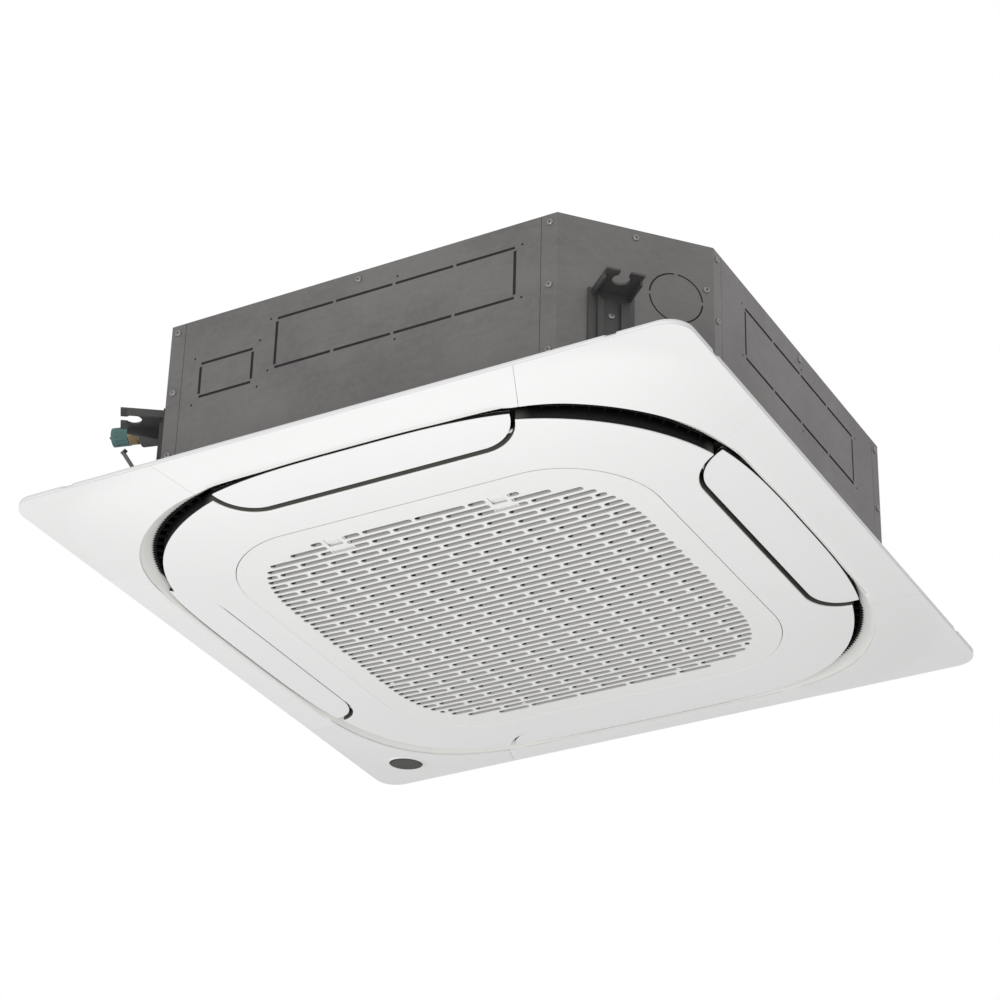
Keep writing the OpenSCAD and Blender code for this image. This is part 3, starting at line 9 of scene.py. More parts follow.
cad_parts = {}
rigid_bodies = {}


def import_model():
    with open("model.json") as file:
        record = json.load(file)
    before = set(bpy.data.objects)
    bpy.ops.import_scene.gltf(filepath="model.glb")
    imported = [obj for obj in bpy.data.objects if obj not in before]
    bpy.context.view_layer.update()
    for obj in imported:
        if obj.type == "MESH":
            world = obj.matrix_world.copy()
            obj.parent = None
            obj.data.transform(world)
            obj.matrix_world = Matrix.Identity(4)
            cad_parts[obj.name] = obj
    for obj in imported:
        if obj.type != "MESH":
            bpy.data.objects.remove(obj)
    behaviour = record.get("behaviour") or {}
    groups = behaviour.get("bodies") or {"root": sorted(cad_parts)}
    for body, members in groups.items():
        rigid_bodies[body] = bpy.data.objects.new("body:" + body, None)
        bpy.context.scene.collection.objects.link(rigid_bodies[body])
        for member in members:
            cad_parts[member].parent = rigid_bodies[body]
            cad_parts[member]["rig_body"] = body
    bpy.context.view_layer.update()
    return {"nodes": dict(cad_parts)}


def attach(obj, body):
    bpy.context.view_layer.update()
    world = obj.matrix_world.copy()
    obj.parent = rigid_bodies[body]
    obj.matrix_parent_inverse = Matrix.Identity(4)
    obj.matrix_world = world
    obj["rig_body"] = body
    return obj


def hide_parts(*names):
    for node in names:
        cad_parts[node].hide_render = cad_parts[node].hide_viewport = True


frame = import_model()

scene = bpy.context.scene

# Camera
# It looks up at the unit from the front right corner, as a person standing in the room
# does. Its place was fitted to the panel's corners, and it is given from the ceiling line.
SEAT_H = 135            # height of the hanger seats over the ceiling line, mm
azimuth, elevation, roll = (math.radians(a) for a in (29.401, -30.266, 1.454))
eye = Vector((1676.456, -3017.71, -1889.53 - SEAT_H)) / 1000
focal_px = 2962.038
camera_data = bpy.data.cameras.new("camera")
camera = bpy.data.objects.new("camera", camera_data)
scene.collection.objects.link(camera)
scene.camera = camera
level = math.cos(elevation)
back = Vector((math.sin(azimuth) * level, -math.cos(azimuth) * level, math.sin(elevation)))
right = Vector((math.cos(azimuth), math.sin(azimuth), 0))
up = back.cross(right)
rolled_right = right * math.cos(roll) + up * math.sin(roll)
rolled_up = up * math.cos(roll) - right * math.sin(roll)
camera.matrix_world = Matrix.Translation(eye) @ Matrix((rolled_right, rolled_up, back)).transposed().to_4x4()
camera_data.sensor_width = 36
camera_data.lens = focal_px / 1000 * camera_data.sensor_width
camera_data.clip_start, camera_data.clip_end = 0.05, 60


# Room
# A pale floor far below, soft light from all round, a large lamp at the front right and
# a fill from the left. What the camera, gloss and glass see of the room is white.
class Socket:
    def __init__(self, tree, out):
        self.tree, self.out = tree, out

    def math(self, operation, *values):
        return self.tree.node("ShaderNodeMath", {"operation": operation}, dict(enumerate(values)))

    def __add__(self, other): return self.math("ADD", self, other)
    def __radd__(self, other): return self.math("ADD", other, self)
    def __sub__(self, other): return self.math("SUBTRACT", self, other)
    def __rsub__(self, other): return self.math("SUBTRACT", other, self)
    def __mul__(self, other): return self.math("MULTIPLY", self, other)
    def __rmul__(self, other): return self.math("MULTIPLY", other, self)
    def __pow__(self, other): return self.math("POWER", self, other)
    def absolute(self): return self.math("ABSOLUTE", self)
    def sine(self): return self.math("SINE", self)
    def least(self, other): return self.math("MINIMUM", self, other)
    def most(self, other): return self.math("MAXIMUM", self, other)


class Tree:
    """A node tree: one method makes every node."""
    def __init__(self, tree):
        self.nodes, self.links = tree.nodes, tree.links

    def node(self, kind, settings=None, sockets=None, out=0):
        node = self.nodes.new(kind)
        for key, value in (settings or {}).items():
            setattr(node, key, value)
        for key, value in (sockets or {}).items():
            self.feed(node.inputs[key], value)
        return Socket(self, node.outputs[out])

    def feed(self, socket, value):
        """Links or sets an input. A bare number as a colour is a grey."""
        if isinstance(value, Socket):
            self.links.new(value.out, socket)
        elif socket.type == "RGBA":
            socket.default_value = (*value, 1) if isinstance(value, tuple) else (value, value, value, 1)
        else:
            socket.default_value = value


class Finish(Tree):
    """A material on the piece's own coordinates, in metres."""
    def __init__(self, name, **constants):
        self.name = name
        self.material = bpy.data.materials.new(name)
        self.material.use_nodes = True
        super().__init__(self.material.node_tree)
        self.shader = self.nodes["Principled BSDF"]
        self.place = self.node("ShaderNodeTexCoord", out="Object")
        self.set(**constants)

    def set(self, **values):
        for key, value in values.items():
            self.feed(self.shader.inputs[key.replace("_", " ")], value)

    def noise(self, scale, detail=2, roughness=0.5, stretch=(1, 1, 1)):
        spread = self.node("ShaderNodeMapping", {}, {"Vector": self.place, "Scale": stretch})
        return self.node("ShaderNodeTexNoise", {}, {"Vector": spread, "Scale": scale, "Detail": detail,
                                                    "Roughness": roughness})

    def steps(self, value, low, high):
        return self.node("ShaderNodeMapRange", {"interpolation_type": "SMOOTHSTEP"},
                         {"Value": value, "From Min": low, "From Max": high})

    def axis(self, letter, vector=None):
        return self.node("ShaderNodeSeparateXYZ", {}, {"Vector": vector or self.place}, letter)

    def red(self, colour):
        return self.node("ShaderNodeSeparateColor", {}, {"Color": colour}, "Red")

    def blend(self, factor, a, b):
        return self.node("ShaderNodeMix", {"data_type": "RGBA"}, {0: factor, 6: a, 7: b}, 2)

    def bump(self, height, strength, distance):
        self.set(Normal=self.node("ShaderNodeBump", {}, {"Height": height, "Strength": strength,
                                                         "Distance": distance}))


def coat(name, tone, dark, light, rough=(), grain=(), **constants):
    """A finish with clouded colour. Tone is its noise's scale and detail; rough is a base, a
    spread and their noise; grain is a noise with the strength and depth of its bump."""
    made = Finish(name, **constants)
    made.set(Base_Color=made.blend(made.noise(*tone), dark, light))
    if rough:
        base, spread, *noise = rough
        made.set(Roughness=base + spread * made.noise(*noise))
    if grain:
        *noise, strength, depth = grain
        made.bump(made.noise(*noise), strength, depth)
    return made


# the sky is 1 for rays from the camera, a gloss or a glass, and ambient for those that light
ambient = 0.52
world = bpy.data.worlds.new("room")
scene.world = world
world.use_nodes = True
sky = Tree(world.node_tree)
rays = [sky.node("ShaderNodeLightPath", out=f"Is {kind} Ray")
        for kind in ("Camera", "Glossy", "Transmission")]
sky.feed(sky.nodes["Background"].inputs["Color"], 1.0)
sky.feed(sky.nodes["Background"].inputs["Strength"],
         ambient + (1 - ambient) * rays[0].most(rays[1]).most(rays[2]))

floor_half, floor_z = 6.0, -2.75
floor_mesh = bpy.data.meshes.new("floor")
corners = [(x * floor_half, y * floor_half, floor_z) for x, y in ((-1, -1), (1, -1), (1, 1), (-1, 1))]
floor_mesh.from_pydata(corners, [], [(0, 1, 2, 3)])
floor_mesh.materials.append(coat("pale_floor", (1.5, 3), 0.82, 0.86, Roughness=0.8).material)
floor = bpy.data.objects.new("floor", floor_mesh)
scene.collection.objects.link(floor)


def lamp(name, place, aim, size, power):
    data = bpy.data.lights.new(name, "AREA")
    data.energy, data.size = power, size
    thing = bpy.data.objects.new(name, data)
    scene.collection.objects.link(thing)
    thing.location = place
    thing.rotation_euler = (Vector(aim) - Vector(place)).to_track_quat("-Z", "Y").to_euler()


lamp("front_lamp", (0.5, -1.7, -1.8), (0, -0.05, -0.15), 1.9, 35)
lamp("left_lamp", (-2.2, -1.2, -1.6), (0, 0, -0.15), 1.6, 12)
scene.view_settings.view_transform = "Standard"


# Panel frame
# The outer part of the decorative panel: four strips of glossy white moulded plastic in
# one gentle dome, with a rim against the ceiling and a collar round the air outlets.
# Screw bosses and ribs stand on its back. Four screws hold it to the hanger brackets.
PANEL, RIM, DROP = 475, 7.5, 43.6      # half width, depth of the edge and of the middle, mm
DOME_SQUARE, DOME_FLAT, DOME_FALL = 6, 5, 1.25      # how square its contours are, and how it falls off
OPEN, OPEN_POWER = 420, 3.4            # half width of the opening, and how square it is
SKIN = 2.5


def dome(x, y):
    """Height of the panel's face over the ceiling line."""
    far = (np.abs(x) ** DOME_SQUARE + np.abs(y) ** DOME_SQUARE) ** (1 / DOME_SQUARE) / PANEL
    return -(RIM + (DROP - RIM) * (1 - np.minimum(1, far) ** DOME_FLAT) ** DOME_FALL)


def lifted(by):
    """The height of what lies this much over the panel's face."""
    return lambda x, y: dome(x, y) + by


def squircle(a, p, count=360, start=0.0, end=360.0, closed=True):
    t = np.radians(np.linspace(start, end, count, endpoint=not closed))
    r = a / (np.abs(np.cos(t)) ** p + np.abs(np.sin(t)) ** p) ** (1 / p)
    return np.stack([r * np.cos(t), r * np.sin(t)], 1)


def arc(x, y, r, a, b, n):
    t = np.radians(np.linspace(a, b, n))
    return np.stack([x + r * np.cos(t), y + r * np.sin(t)], 1)


def rounded(h, r, n):
    """A square about the middle with round corners."""
    return np.concatenate([turned(arc(h - r, h - r, r, 0, 90, n), quarter) for quarter in range(4)])


def thin_out(line, least=0.3):
    keep = [line[0]]
    for p in line[1:]:
        if np.hypot(*(p - keep[-1])) > least:
            keep.append(p)
    if np.hypot(*(keep[-1] - keep[0])) < least:
        keep.pop()
    return np.array(keep)


def fill_in(line, step):
    """Adds points so that no stretch of a closed outline is longer than step."""
    out = []
    for a, b in zip(line, np.roll(line, -1, 0)):
        n = max(1, int(math.ceil(np.hypot(*(b - a)) / step)))
        out += [a + (b - a) * i / n for i in range(n)]
    return np.array(out)


def shrunk(line, by):
    """A closed outline that runs anticlockwise, moved inwards."""
    along = np.roll(line, -1, 0) - np.roll(line, 1, 0)
    along /= np.hypot(along[:, 0], along[:, 1])[:, None]
    return line + by * np.stack([-along[:, 1], along[:, 0]], 1)


def inside(points, line):
    x, y = points[:, 0], points[:, 1]
    result = np.zeros(len(points), bool)
    for (x0, y0), (x1, y1) in zip(line, np.roll(line, -1, 0)):
        if y0 != y1:
            result ^= ((y0 > y) != (y1 > y)) & (x < (x1 - x0) * (y - y0) / (y1 - y0) + x0)
    return result


def turned(points, quarter):
    """Points turned about the middle by quarters of a turn."""
    c, s = [(1, 0), (0, 1), (-1, 0), (0, -1)][quarter % 4]
    p = np.array(points, float)
    out = p.copy()
    out[:, 0], out[:, 1] = c * p[:, 0] - s * p[:, 1], s * p[:, 0] + c * p[:, 1]
    return out


def both_sides(faces, n):
    """A sheet's triangles, the same turned over on the next n points, and walls along its edges."""
    sides = {(f[i], f[(i + 1) % 3]) for f in faces for i in range(3)}
    walls = [(b, a, a + n, b + n) for a, b in sides if (b, a) not in sides]
    return [tuple(f) for f in faces] + [tuple(f[::-1] + n) for f in faces] + walls


def triangles(points, edges, merge):
    """A flat drawing cut into triangles, as arrays of points, faces and the middles of the faces."""
    flat, _, faces, _, _, _ = delaunay_2d_cdt([Vector(p) for p in points], edges, [], 0, merge)
    flat, faces = np.array([tuple(v) for v in flat]), np.array([tuple(f) for f in faces])
    return flat, faces, flat[faces].mean(1)


def loop_edges(counts):
    """The edges of closed outlines of so many points each, one after the other."""
    starts = np.cumsum([0, *counts])
    return [(int(s + i), int(s + (i + 1) % n)) for s, n in zip(starts, counts) for i in range(n)]


class Shape:
    """Points and faces of one piece, in mm over the ceiling line."""
    def __init__(self):
        self.points, self.faces = [], []

    def put(self, points, faces, quarter=0):
        first = len(self.points)
        self.points += [tuple(p) for p in turned(points, quarter)]
        self.faces += [tuple(int(i) + first for i in face) for face in faces]
        return self

    def loft(self, rings, round_ends=False, quarter=0):
        """Skins rings of as many points each, either closed by two end faces or ring to ring."""
        n, m = len(rings[0]), len(rings)
        faces = []
        for k in range(m if round_ends else m - 1):
            a, b = k * n, (k + 1) % m * n
            faces += [(a + i, a + (i + 1) % n, b + (i + 1) % n, b + i) for i in range(n)]
        if not round_ends:
            faces += [tuple(range(n))[::-1], tuple(range((m - 1) * n, m * n))]
        return self.put(np.concatenate(rings), faces, quarter)

    def hoop(self, lines, round_ends=True, quarter=0):
        """Skins flat outlines, each given with its height or heights."""
        rings = [np.column_stack([line, np.broadcast_to(z, len(line))]) for line, z in lines]
        return self.loft(rings, round_ends, quarter)

    def fence(self, outer, inner, foot, top):
        """An upright wall between two outlines: its foot is a function of the place, its top a height."""
        return self.hoop([(outer, foot(*outer.T)), (outer, top), (inner, top), (inner, foot(*inner.T))])

    def slab(self, x0, x1, profile, quarter=0):
        """A profile of (y, z) pairs drawn out along X."""
        return self.loft([[(x, *p) for p in profile] for x in (x0, x1)], quarter=quarter)

    def box(self, x, y, z, quarter=0):
        points = [(x[i], y[j], z[k]) for i in (0, 1) for j in (0, 1) for k in (0, 1)]
        faces = [(0, 1, 3, 2), (4, 6, 7, 5), (0, 4, 5, 1), (2, 3, 7, 6), (0, 2, 6, 4), (1, 5, 7, 3)]
        return self.put(points, faces, quarter)

    def lathe(self, profile, x, y, n, closed=True):
        """Turns a profile of (radius, height) pairs about an upright axis."""
        return self.hoop([(arc(x, y, r, 0, 360 - 360 / n, n), z) for r, z in profile], closed)

    def plate(self, outline, holes=(), grid=16.0, under=dome, over=None, thick=SKIN, extra=(), quarter=0):
        """A moulded skin: a flat outline with holes, triangulated, laid on a height, with walls all round."""
        rings = [np.array(outline), *holes]
        low, high = rings[0].min(0), rings[0].max(0)
        columns, rows = (np.arange(low[k], high[k], grid) + grid / 2 for k in (0, 1))
        inner = np.stack(np.meshgrid(columns, rows), 2).reshape(-1, 2)
        inner = inner[inside(inner, rings[0])]
        fixed = np.concatenate([*rings, extra]) if len(extra) else np.concatenate(rings)
        free = np.array([np.hypot(*(fixed - p).T).min() > grid * 0.3 for p in inner], bool)
        points = [tuple(p) for p in np.concatenate([fixed, inner[free]])]
        flat, faces, middle = triangles(points, loop_edges([len(ring) for ring in rings]), 1e-4)
        keep = inside(middle, rings[0])
        for ring in rings[1:]:
            some = np.where(keep & (middle > ring.min(0)).all(1) & (middle < ring.max(0)).all(1))[0]
            keep[some] = ~inside(middle[some], ring)
        faces = faces[keep]
        area = np.cross(flat[faces[:, 1]] - flat[faces[:, 0]], flat[faces[:, 2]] - flat[faces[:, 0]])
        faces[area > 0] = faces[area > 0][:, ::-1]
        used, faces = np.unique(faces, return_inverse=True)
        faces, flat = faces.reshape(-1, 3), flat[used]
        low_z = under(*flat.T)
        high_z = low_z + thick if over is None else over(*flat.T)
        solid = np.concatenate([np.column_stack([flat, low_z]), np.column_stack([flat, high_z])])
        return self.put(solid, both_sides(faces, len(flat)), quarter)


def cleaned(mesh, merge, flat_angle=0.0):
    """Merges points that coincide, joins faces that lie flat, and turns all faces outwards."""
    work = bmesh.new()
    work.from_mesh(mesh)
    bmesh.ops.remove_doubles(work, verts=work.verts, dist=merge)
    if flat_angle:
        bmesh.ops.dissolve_limit(work, angle_limit=math.radians(flat_angle), verts=work.verts,
                                 edges=work.edges)
    bmesh.ops.recalc_face_normals(work, faces=work.faces)
    work.to_mesh(mesh)
    work.free()


def mesh_of(name, shape, drop=0, smooth=True):
    """A shape as a mesh in metres."""
    points = np.array(shape.points, float) / 1000
    points[:, 2] -= drop / 1000
    mesh = bpy.data.meshes.new(name)
    mesh.from_pydata(points.tolist(), [], shape.faces)
    mesh.validate()
    cleaned(mesh, 1e-6)
    mesh.polygons.foreach_set("use_smooth", [smooth] * len(mesh.polygons))
    return mesh


def settle(name, mesh, finish, body, stands_for=(), edge=()):
    """Places a mesh with its finish and body. Edge is the width in mm, the segments and
    the least angle of its rounded edges."""
    mesh.materials.clear()
    mesh.materials.append(finish.material)
    thing = bpy.data.objects.new(name, mesh)
    scene.collection.objects.link(thing)
    if edge:
        rounding = thing.modifiers.new("Bevel", "BEVEL")
        rounding.width, rounding.segments = edge[0] / 1000, edge[1]
        rounding.limit_method, rounding.angle_limit = "ANGLE", math.radians(edge[2])
        rounding.harden_normals, rounding.use_clamp_overlap = True, True
    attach(thing, body)
    if stands_for:
        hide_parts(*stands_for)
    return thing


def add(name, shape, finish, body, stands_for=(), edge=(), smooth=True):
    return settle(name, mesh_of(name, shape, SEAT_H, smooth), finish, body, stands_for, edge)


white = coat("panel_white", (3.2, 3), (0.83, 0.83, 0.825), (0.87, 0.87, 0.865), (0.30, 0.08, 24, 3),
             (900, 2, 0.05, 0.0002), IOR=1.46)

FLARE, FLARE_FROM, FLARE_OVER, FLARE_SHARE = 13.0, 110, 175, 0.97
SEAM_OUT, SEAM_IN, SEAM = (256.0, PANEL), (230.0, 412.0), 0.5     # seams of the corner covers, (x, y)


def widened(short):
    """How far the opening's edge stands outside its plain outline: most at a corner, nothing at a flap."""
    t = np.clip((short - FLARE_FROM) / FLARE_OVER, 0, 1)
    return FLARE * t * t * (3 - 2 * t)


def seam_x(y):
    return SEAM_IN[0] + (y - SEAM_IN[1]) * (SEAM_OUT[0] - SEAM_IN[0]) / (SEAM_OUT[1] - SEAM_IN[1])


def on_opening(x, a=OPEN, power=OPEN_POWER):
    return (a ** power - np.abs(x) ** power) ** (1 / power)


def on_edge(x):
    """The opening's edge in the skin, over the middle two thirds of a side."""
    return on_opening(x) + widened(np.abs(x)) * FLARE_SHARE


def flared(line):
    """A full outline of the opening, moved out to the skin's edge."""
    reach = np.hypot(line[:, 0], line[:, 1])
    return line * (1 + widened(np.abs(line).min(1)) / reach)[:, None]


ROLL_W, ROLL_H, ROLL_END, ROLL_FADE = 9.0, 3.0, 225, 30
EDGE_END = 300                         # on_edge is good up to here


def rolled(x, y):
    """The face, turned up to the opening beside the flaps."""
    short, long = np.minimum(np.abs(x), np.abs(y)), np.maximum(np.abs(x), np.abs(y))
    off = np.clip(1 - (long - on_edge(np.minimum(short, EDGE_END))) / ROLL_W, 0, 1)
    fade = np.clip((ROLL_END - short) / ROLL_FADE, 0, 1)
    return dome(x, y) + ROLL_H * off ** 2 * fade ** 2 * (3 - 2 * fade)


# one strip of skin, from seam to seam; the loop finds where the seam meets the opening's edge
half_seam = SEAM / 2
cover_y = on_edge(seam_x(SEAM_IN[1]))
for _ in range(8):
    cover_y = on_edge(seam_x(cover_y))
seam_end = seam_x(cover_y)
inner_edge = np.array([(x, on_edge(x)) for x in np.linspace(half_seam - seam_end, seam_end - half_seam, 61)])
strip = np.concatenate([inner_edge, [(seam_x(PANEL) - half_seam, PANEL), (half_seam - seam_x(PANEL), PANEL)]])
strip = fill_in(thin_out(strip), 12)
roll_points = [(x, on_edge(x) + off) for off in (1.2, 2.6, 4.4, 6.6, 9.0) for x in np.linspace(-224, 224, 57)]
frame_shape = Shape()
for quarter in range(4):
    frame_shape.plate(strip, grid=14, under=rolled, extra=roll_points, quarter=quarter)

# sub-skin that carries the corner covers
COVER_T, COVER_GAP, CORNER_R = 1.7, 0.3, 32
behind_cover = lifted(COVER_T + COVER_GAP)
corner_from = seam_end + half_seam
cover_line = np.concatenate([
    [(seam_x(PANEL) + half_seam, PANEL)], arc(PANEL - CORNER_R, PANEL - CORNER_R, CORNER_R, 90, 0, 14),
    [(PANEL, seam_x(PANEL) + half_seam), (cover_y, corner_from)],
    [p for p in flared(squircle(OPEN, OPEN_POWER, 900)) if p.min() > corner_from + 0.5],
    [(corner_from, cover_y)]])
cover_line = fill_in(thin_out(cover_line), 12)
for quarter in range(4):
    frame_shape.plate(shrunk(cover_line[::-1], 0.6)[::-1], grid=20, under=behind_cover, quarter=quarter)

# rim against the ceiling, with its small notches
RIM_W, NOTCH_AT, NOTCH_W, NOTCH_IN = 7, 385, 14, 3
rim_line = fill_in(rounded(PANEL, CORNER_R, 14), 3.4)
notched = np.zeros(len(rim_line), bool)
for quarter in range(4):
    near = turned(rim_line, quarter)
    notched |= (near[:, 1] < -PANEL + 1) & (np.abs(np.abs(near[:, 0]) - NOTCH_AT) < NOTCH_W / 2)
inwards = (shrunk(rim_line, RIM_W) - rim_line) / RIM_W
rim = []
for inset, z in ((0.9, -RIM + 0.4), (0.5, -RIM + SKIN + 0.1), (0, -RIM + SKIN + 0.5), (0, -1.0), (0.3, -0.3),
                 (1.0, 0), (RIM_W - 1, 0), (RIM_W, -0.8), (RIM_W, -RIM + 1.5), (RIM_W - 1, -RIM + 1)):
    line = rim_line + inwards * inset
    if inset < NOTCH_IN and z > -RIM / 2:
        line[notched] = (rim_line + inwards * NOTCH_IN)[notched]
    rim.append((line, z))
frame_shape.hoop(rim)

# collar round the opening: straight beside the flaps, flared outwards to the skin's edge at the corners
COLLAR_TOP, COLLAR_T, TUCK, FLARE_TO = -9.0, 2.3, 6.0, 0.75


def tucked(line):
    """How far the collar's upper part stands inside the plain outline at the corners."""
    return TUCK * widened(np.abs(line).min(1)) / FLARE


plain = squircle(OPEN, OPEN_POWER, 720)
low = behind_cover(*flared(plain).T)
collar = []
for share, out in ((0.0, 0.05), (0.25, 0), (0.5, 0), (0.75, 0), (1.0, 0), (1.0, COLLAR_T), (0.75, COLLAR_T),
                   (0.5, COLLAR_T), (0.25, COLLAR_T), (0.0, COLLAR_T + 0.1)):
    spread = max(0.0, 1 - share / FLARE_TO)
    moved = widened(np.abs(plain).min(1)) * spread - tucked(plain) * (1 - spread) + out
    collar.append((plain * (1 + moved / np.hypot(*plain.T))[:, None], low + (COLLAR_TOP - low) * share))
collar_plastic = coat("collar_plastic", (30, 2), (0.76, 0.76, 0.73), (0.82, 0.82, 0.79), (0.5, 0.1, 40, 2),
                      Specular_IOR_Level=0.3)
add("outlet_collar", Shape().hoop(collar), collar_plastic, "casing")

# screw bosses over the bracket feet, and the ribs of the back
for x, y in ((341.0, 377.6), (-341.0, 377.6), (341.0, -377.6), (-338.9, -377.5)):
    foot = float(behind_cover(x, y))
    frame_shape.lathe([(9, foot), (9, COLLAR_TOP - 0.5), (8.5, COLLAR_TOP), (3.3, COLLAR_TOP),
                       (3.3, COLLAR_TOP - 3), (6.5, COLLAR_TOP - 3), (6.5, foot)], x, y, 32)
RIB_T = 1.6
for quarter in range(4):
    for x in np.arange(-210, 211, 60):
        y = np.linspace(float(on_edge(x)) + 3.5, PANEL - RIM_W + 0.5, 6)
        foot, top = dome(x, y) + SKIN - 0.3, np.linspace(COLLAR_TOP - 1, -3, 6)
        frame_shape.slab(x - RIB_T / 2, x + RIB_T / 2, [*zip(y, foot), *zip(y[::-1], top[::-1])], quarter)
add("panel_frame_skin", frame_shape, white, "casing", ("panel_frame",), (0.7, 3, 40))


# Corner covers
# Four thin white covers snap over the panel's corners and hide the screws. One holds the
# round dark window of the sensor.
cover_white = coat("cover_white", (4, 3), (0.82, 0.82, 0.815), (0.86, 0.86, 0.855), (0.32, 0.08, 30, 3),
                   (900, 2, 0.05, 0.0002), IOR=1.46)
SENSOR, SENSOR_R = (-395, 395), 25
cover_shape = Shape()
for quarter in range(4):
    holes = [turned(arc(*SENSOR, SENSOR_R, 0, 354, 60), 3)] if quarter == 1 else []
    cover_shape.plate(cover_line, holes, grid=14, thick=COVER_T, quarter=quarter)
add("corner_cover_skins", cover_shape, cover_white, "casing", ("corner_covers",), (0.7, 3, 40))

window_dark = Finish("window_dark", IOR=1.33)
off_x, off_y = (window_dark.axis(letter) * 1000 - middle for letter, middle in zip("XY", SENSOR))
past_ring = window_dark.steps((off_x ** 2.0 + off_y ** 2.0) ** 0.5, 20.5, 21)
window_dark.set(Base_Color=window_dark.blend(past_ring, (0.045, 0.045, 0.038), (0.028, 0.028, 0.025)),
                Roughness=0.45 + 0.1 * window_dark.noise(60, 3))
LENS_DROP, LENS_POINTS = 3.3, 96


def lens_plane(x, y):
    """The window stands more level than the skin round it."""
    return (dome(x, y) + dome(*SENSOR)) / 2 - LENS_DROP


def lens_ring(r):
    return arc(*SENSOR, r, 0, 360 - 360 / LENS_POINTS, LENS_POINTS)


bezel = []
for r, lift, on_skin in ((24.9, 1.6, 0), (24.9, 0.3, 0), (25.3, 0.0, 0), (26.2, 0.1, 0), (26.6, 0.6, 0),
                         (27.4, 0.0, 1), (27.4, 1.2, 1), (24.9, 1.2, 1)):
    skin = dome(*lens_ring(r).T)
    height = skin if on_skin else np.minimum(lens_plane(*lens_ring(r).T), skin - 0.2)
    bezel.append((lens_ring(r), height + lift))
add("sensor_bezel", Shape().hoop(bezel), cover_white, "casing")
lens = [(lens_ring(r), lens_plane(*lens_ring(r).T) + lift) for r, lift in
        ((0.5, 0.35), (8, 0.33), (16, 0.28), (21.5, 0.2), (23.6, 0.3), (24.4, 0.6), (24.7, 1.1), (24.7, 1.9),
         (0.5, 1.9))]
add("sensor_lens", Shape().hoop(lens, False), window_dark, "casing", ("sensor_window",))


# Middle section
# The inner part of the panel, moulded in the same white, with a notch for each flap. Its
# dark outer wall shows as a line in the channels round the flaps. Bridges over the
# outlets carry the flaps, and guides at the back hold the hangers of the suction grille.
CENTRE, CENTRE_POWER = 412, 3.1
NOTCH_IN_Y, NOTCH_R, NOTCH_X = 351.0, 67.0, 153.0      # inner edge, corner radius and its middle
NOTCH_Y = NOTCH_IN_Y + NOTCH_R
GRILLE, GRILLE_R, GRILLE_GAP = 299.2, 128.0, 1.6


def crossing(low, high, rising, falling):
    """The x at which one curve meets the other."""
    for _ in range(40):
        x = (low + high) / 2
        low, high = (x, high) if rising(x) < falling(x) else (low, x)
    return x


def centre_line(grow=0.0):
    """Outline of the middle section, drawn in by grow, anticlockwise from the -Y notch."""
    def notch_y(x): return NOTCH_Y - math.sqrt((NOTCH_R + grow) ** 2 - (x - NOTCH_X) ** 2)
    x_end = crossing(NOTCH_X + 20, NOTCH_X + NOTCH_R + grow - 0.01, notch_y,
                     lambda x: on_opening(x, CENTRE - grow, CENTRE_POWER))
    y_end = notch_y(x_end)
    a_end = math.degrees(math.atan2(y_end - NOTCH_Y, x_end - NOTCH_X))
    notch = arc(NOTCH_X, NOTCH_Y, NOTCH_R + grow, -90, a_end, 22) * [1, -1]
    a_corner = math.degrees(math.atan2(-y_end, x_end))
    corner = squircle(CENTRE - grow, CENTRE_POWER, 70, a_corner, -90 - a_corner, closed=False)[1:-1]
    side = np.concatenate([notch[::-1] * [-1, 1], notch, corner])
    return thin_out(np.concatenate([turned(side, quarter) for quarter in range(4)]), 0.2)


grille_hole = rounded(GRILLE + GRILLE_GAP / 2, GRILLE_R + GRILLE_GAP / 2, 40)
centre_shape = Shape().plate(fill_in(centre_line(), 9), [fill_in(grille_hole, 9)], grid=15)

# seat of the grille and the collar of the suction opening
SEAT_IN = 302.2
seat = [fill_in(rounded(SEAT_IN + 1.6 + out, GRILLE_R + 4.6 + out, 24), 12) for out in (0, 3)]
centre_shape.fence(*seat, lifted(SKIN - 0.3), COLLAR_TOP)

# bridges over the outlets, with the eyes of the flap hinges
HINGE_Y, HINGE_Z, PIN_R, EYE_R = -366.0, -20.0, 2.5, 5.0
BRIDGE_X, BRIDGE_T, BRIDGE_LOW = 166, 6, -14


def eye(x0, x1, y, z, hole, r, top, n=32):
    """A lug along X: round below and square above, with a bore."""
    outer = np.concatenate([arc(y, z, r, 180, 360, n // 2 + 1), [(y + r, top), (y - r, top)]])
    bore = arc(y, z, hole, 360, 360 / n, n)
    flat, faces, middle = triangles([*outer, *bore], loop_edges([len(outer), n]), 1e-5)
    faces = faces[inside(middle, outer) & (np.hypot(middle[:, 0] - y, middle[:, 1] - z) > hole * 0.98)]
    return [(x, a, b) for x in (x0, x1) for a, b in flat], both_sides(faces, len(flat))


wall = Shape()
outer_y = float(on_opening(BRIDGE_X + BRIDGE_T)) - 0.6
for quarter in range(4):
    for side in (-1, 1):
        x0, x1 = sorted((side * BRIDGE_X, side * (BRIDGE_X + BRIDGE_T)))
        wall.box((x0, x1), (-outer_y, -NOTCH_IN_Y - 2.5), (BRIDGE_LOW, COLLAR_TOP), quarter)
        wall.put(*eye(x0, x1, HINGE_Y, HINGE_Z, PIN_R + 0.05, EYE_R, BRIDGE_LOW + 0.5), quarter)

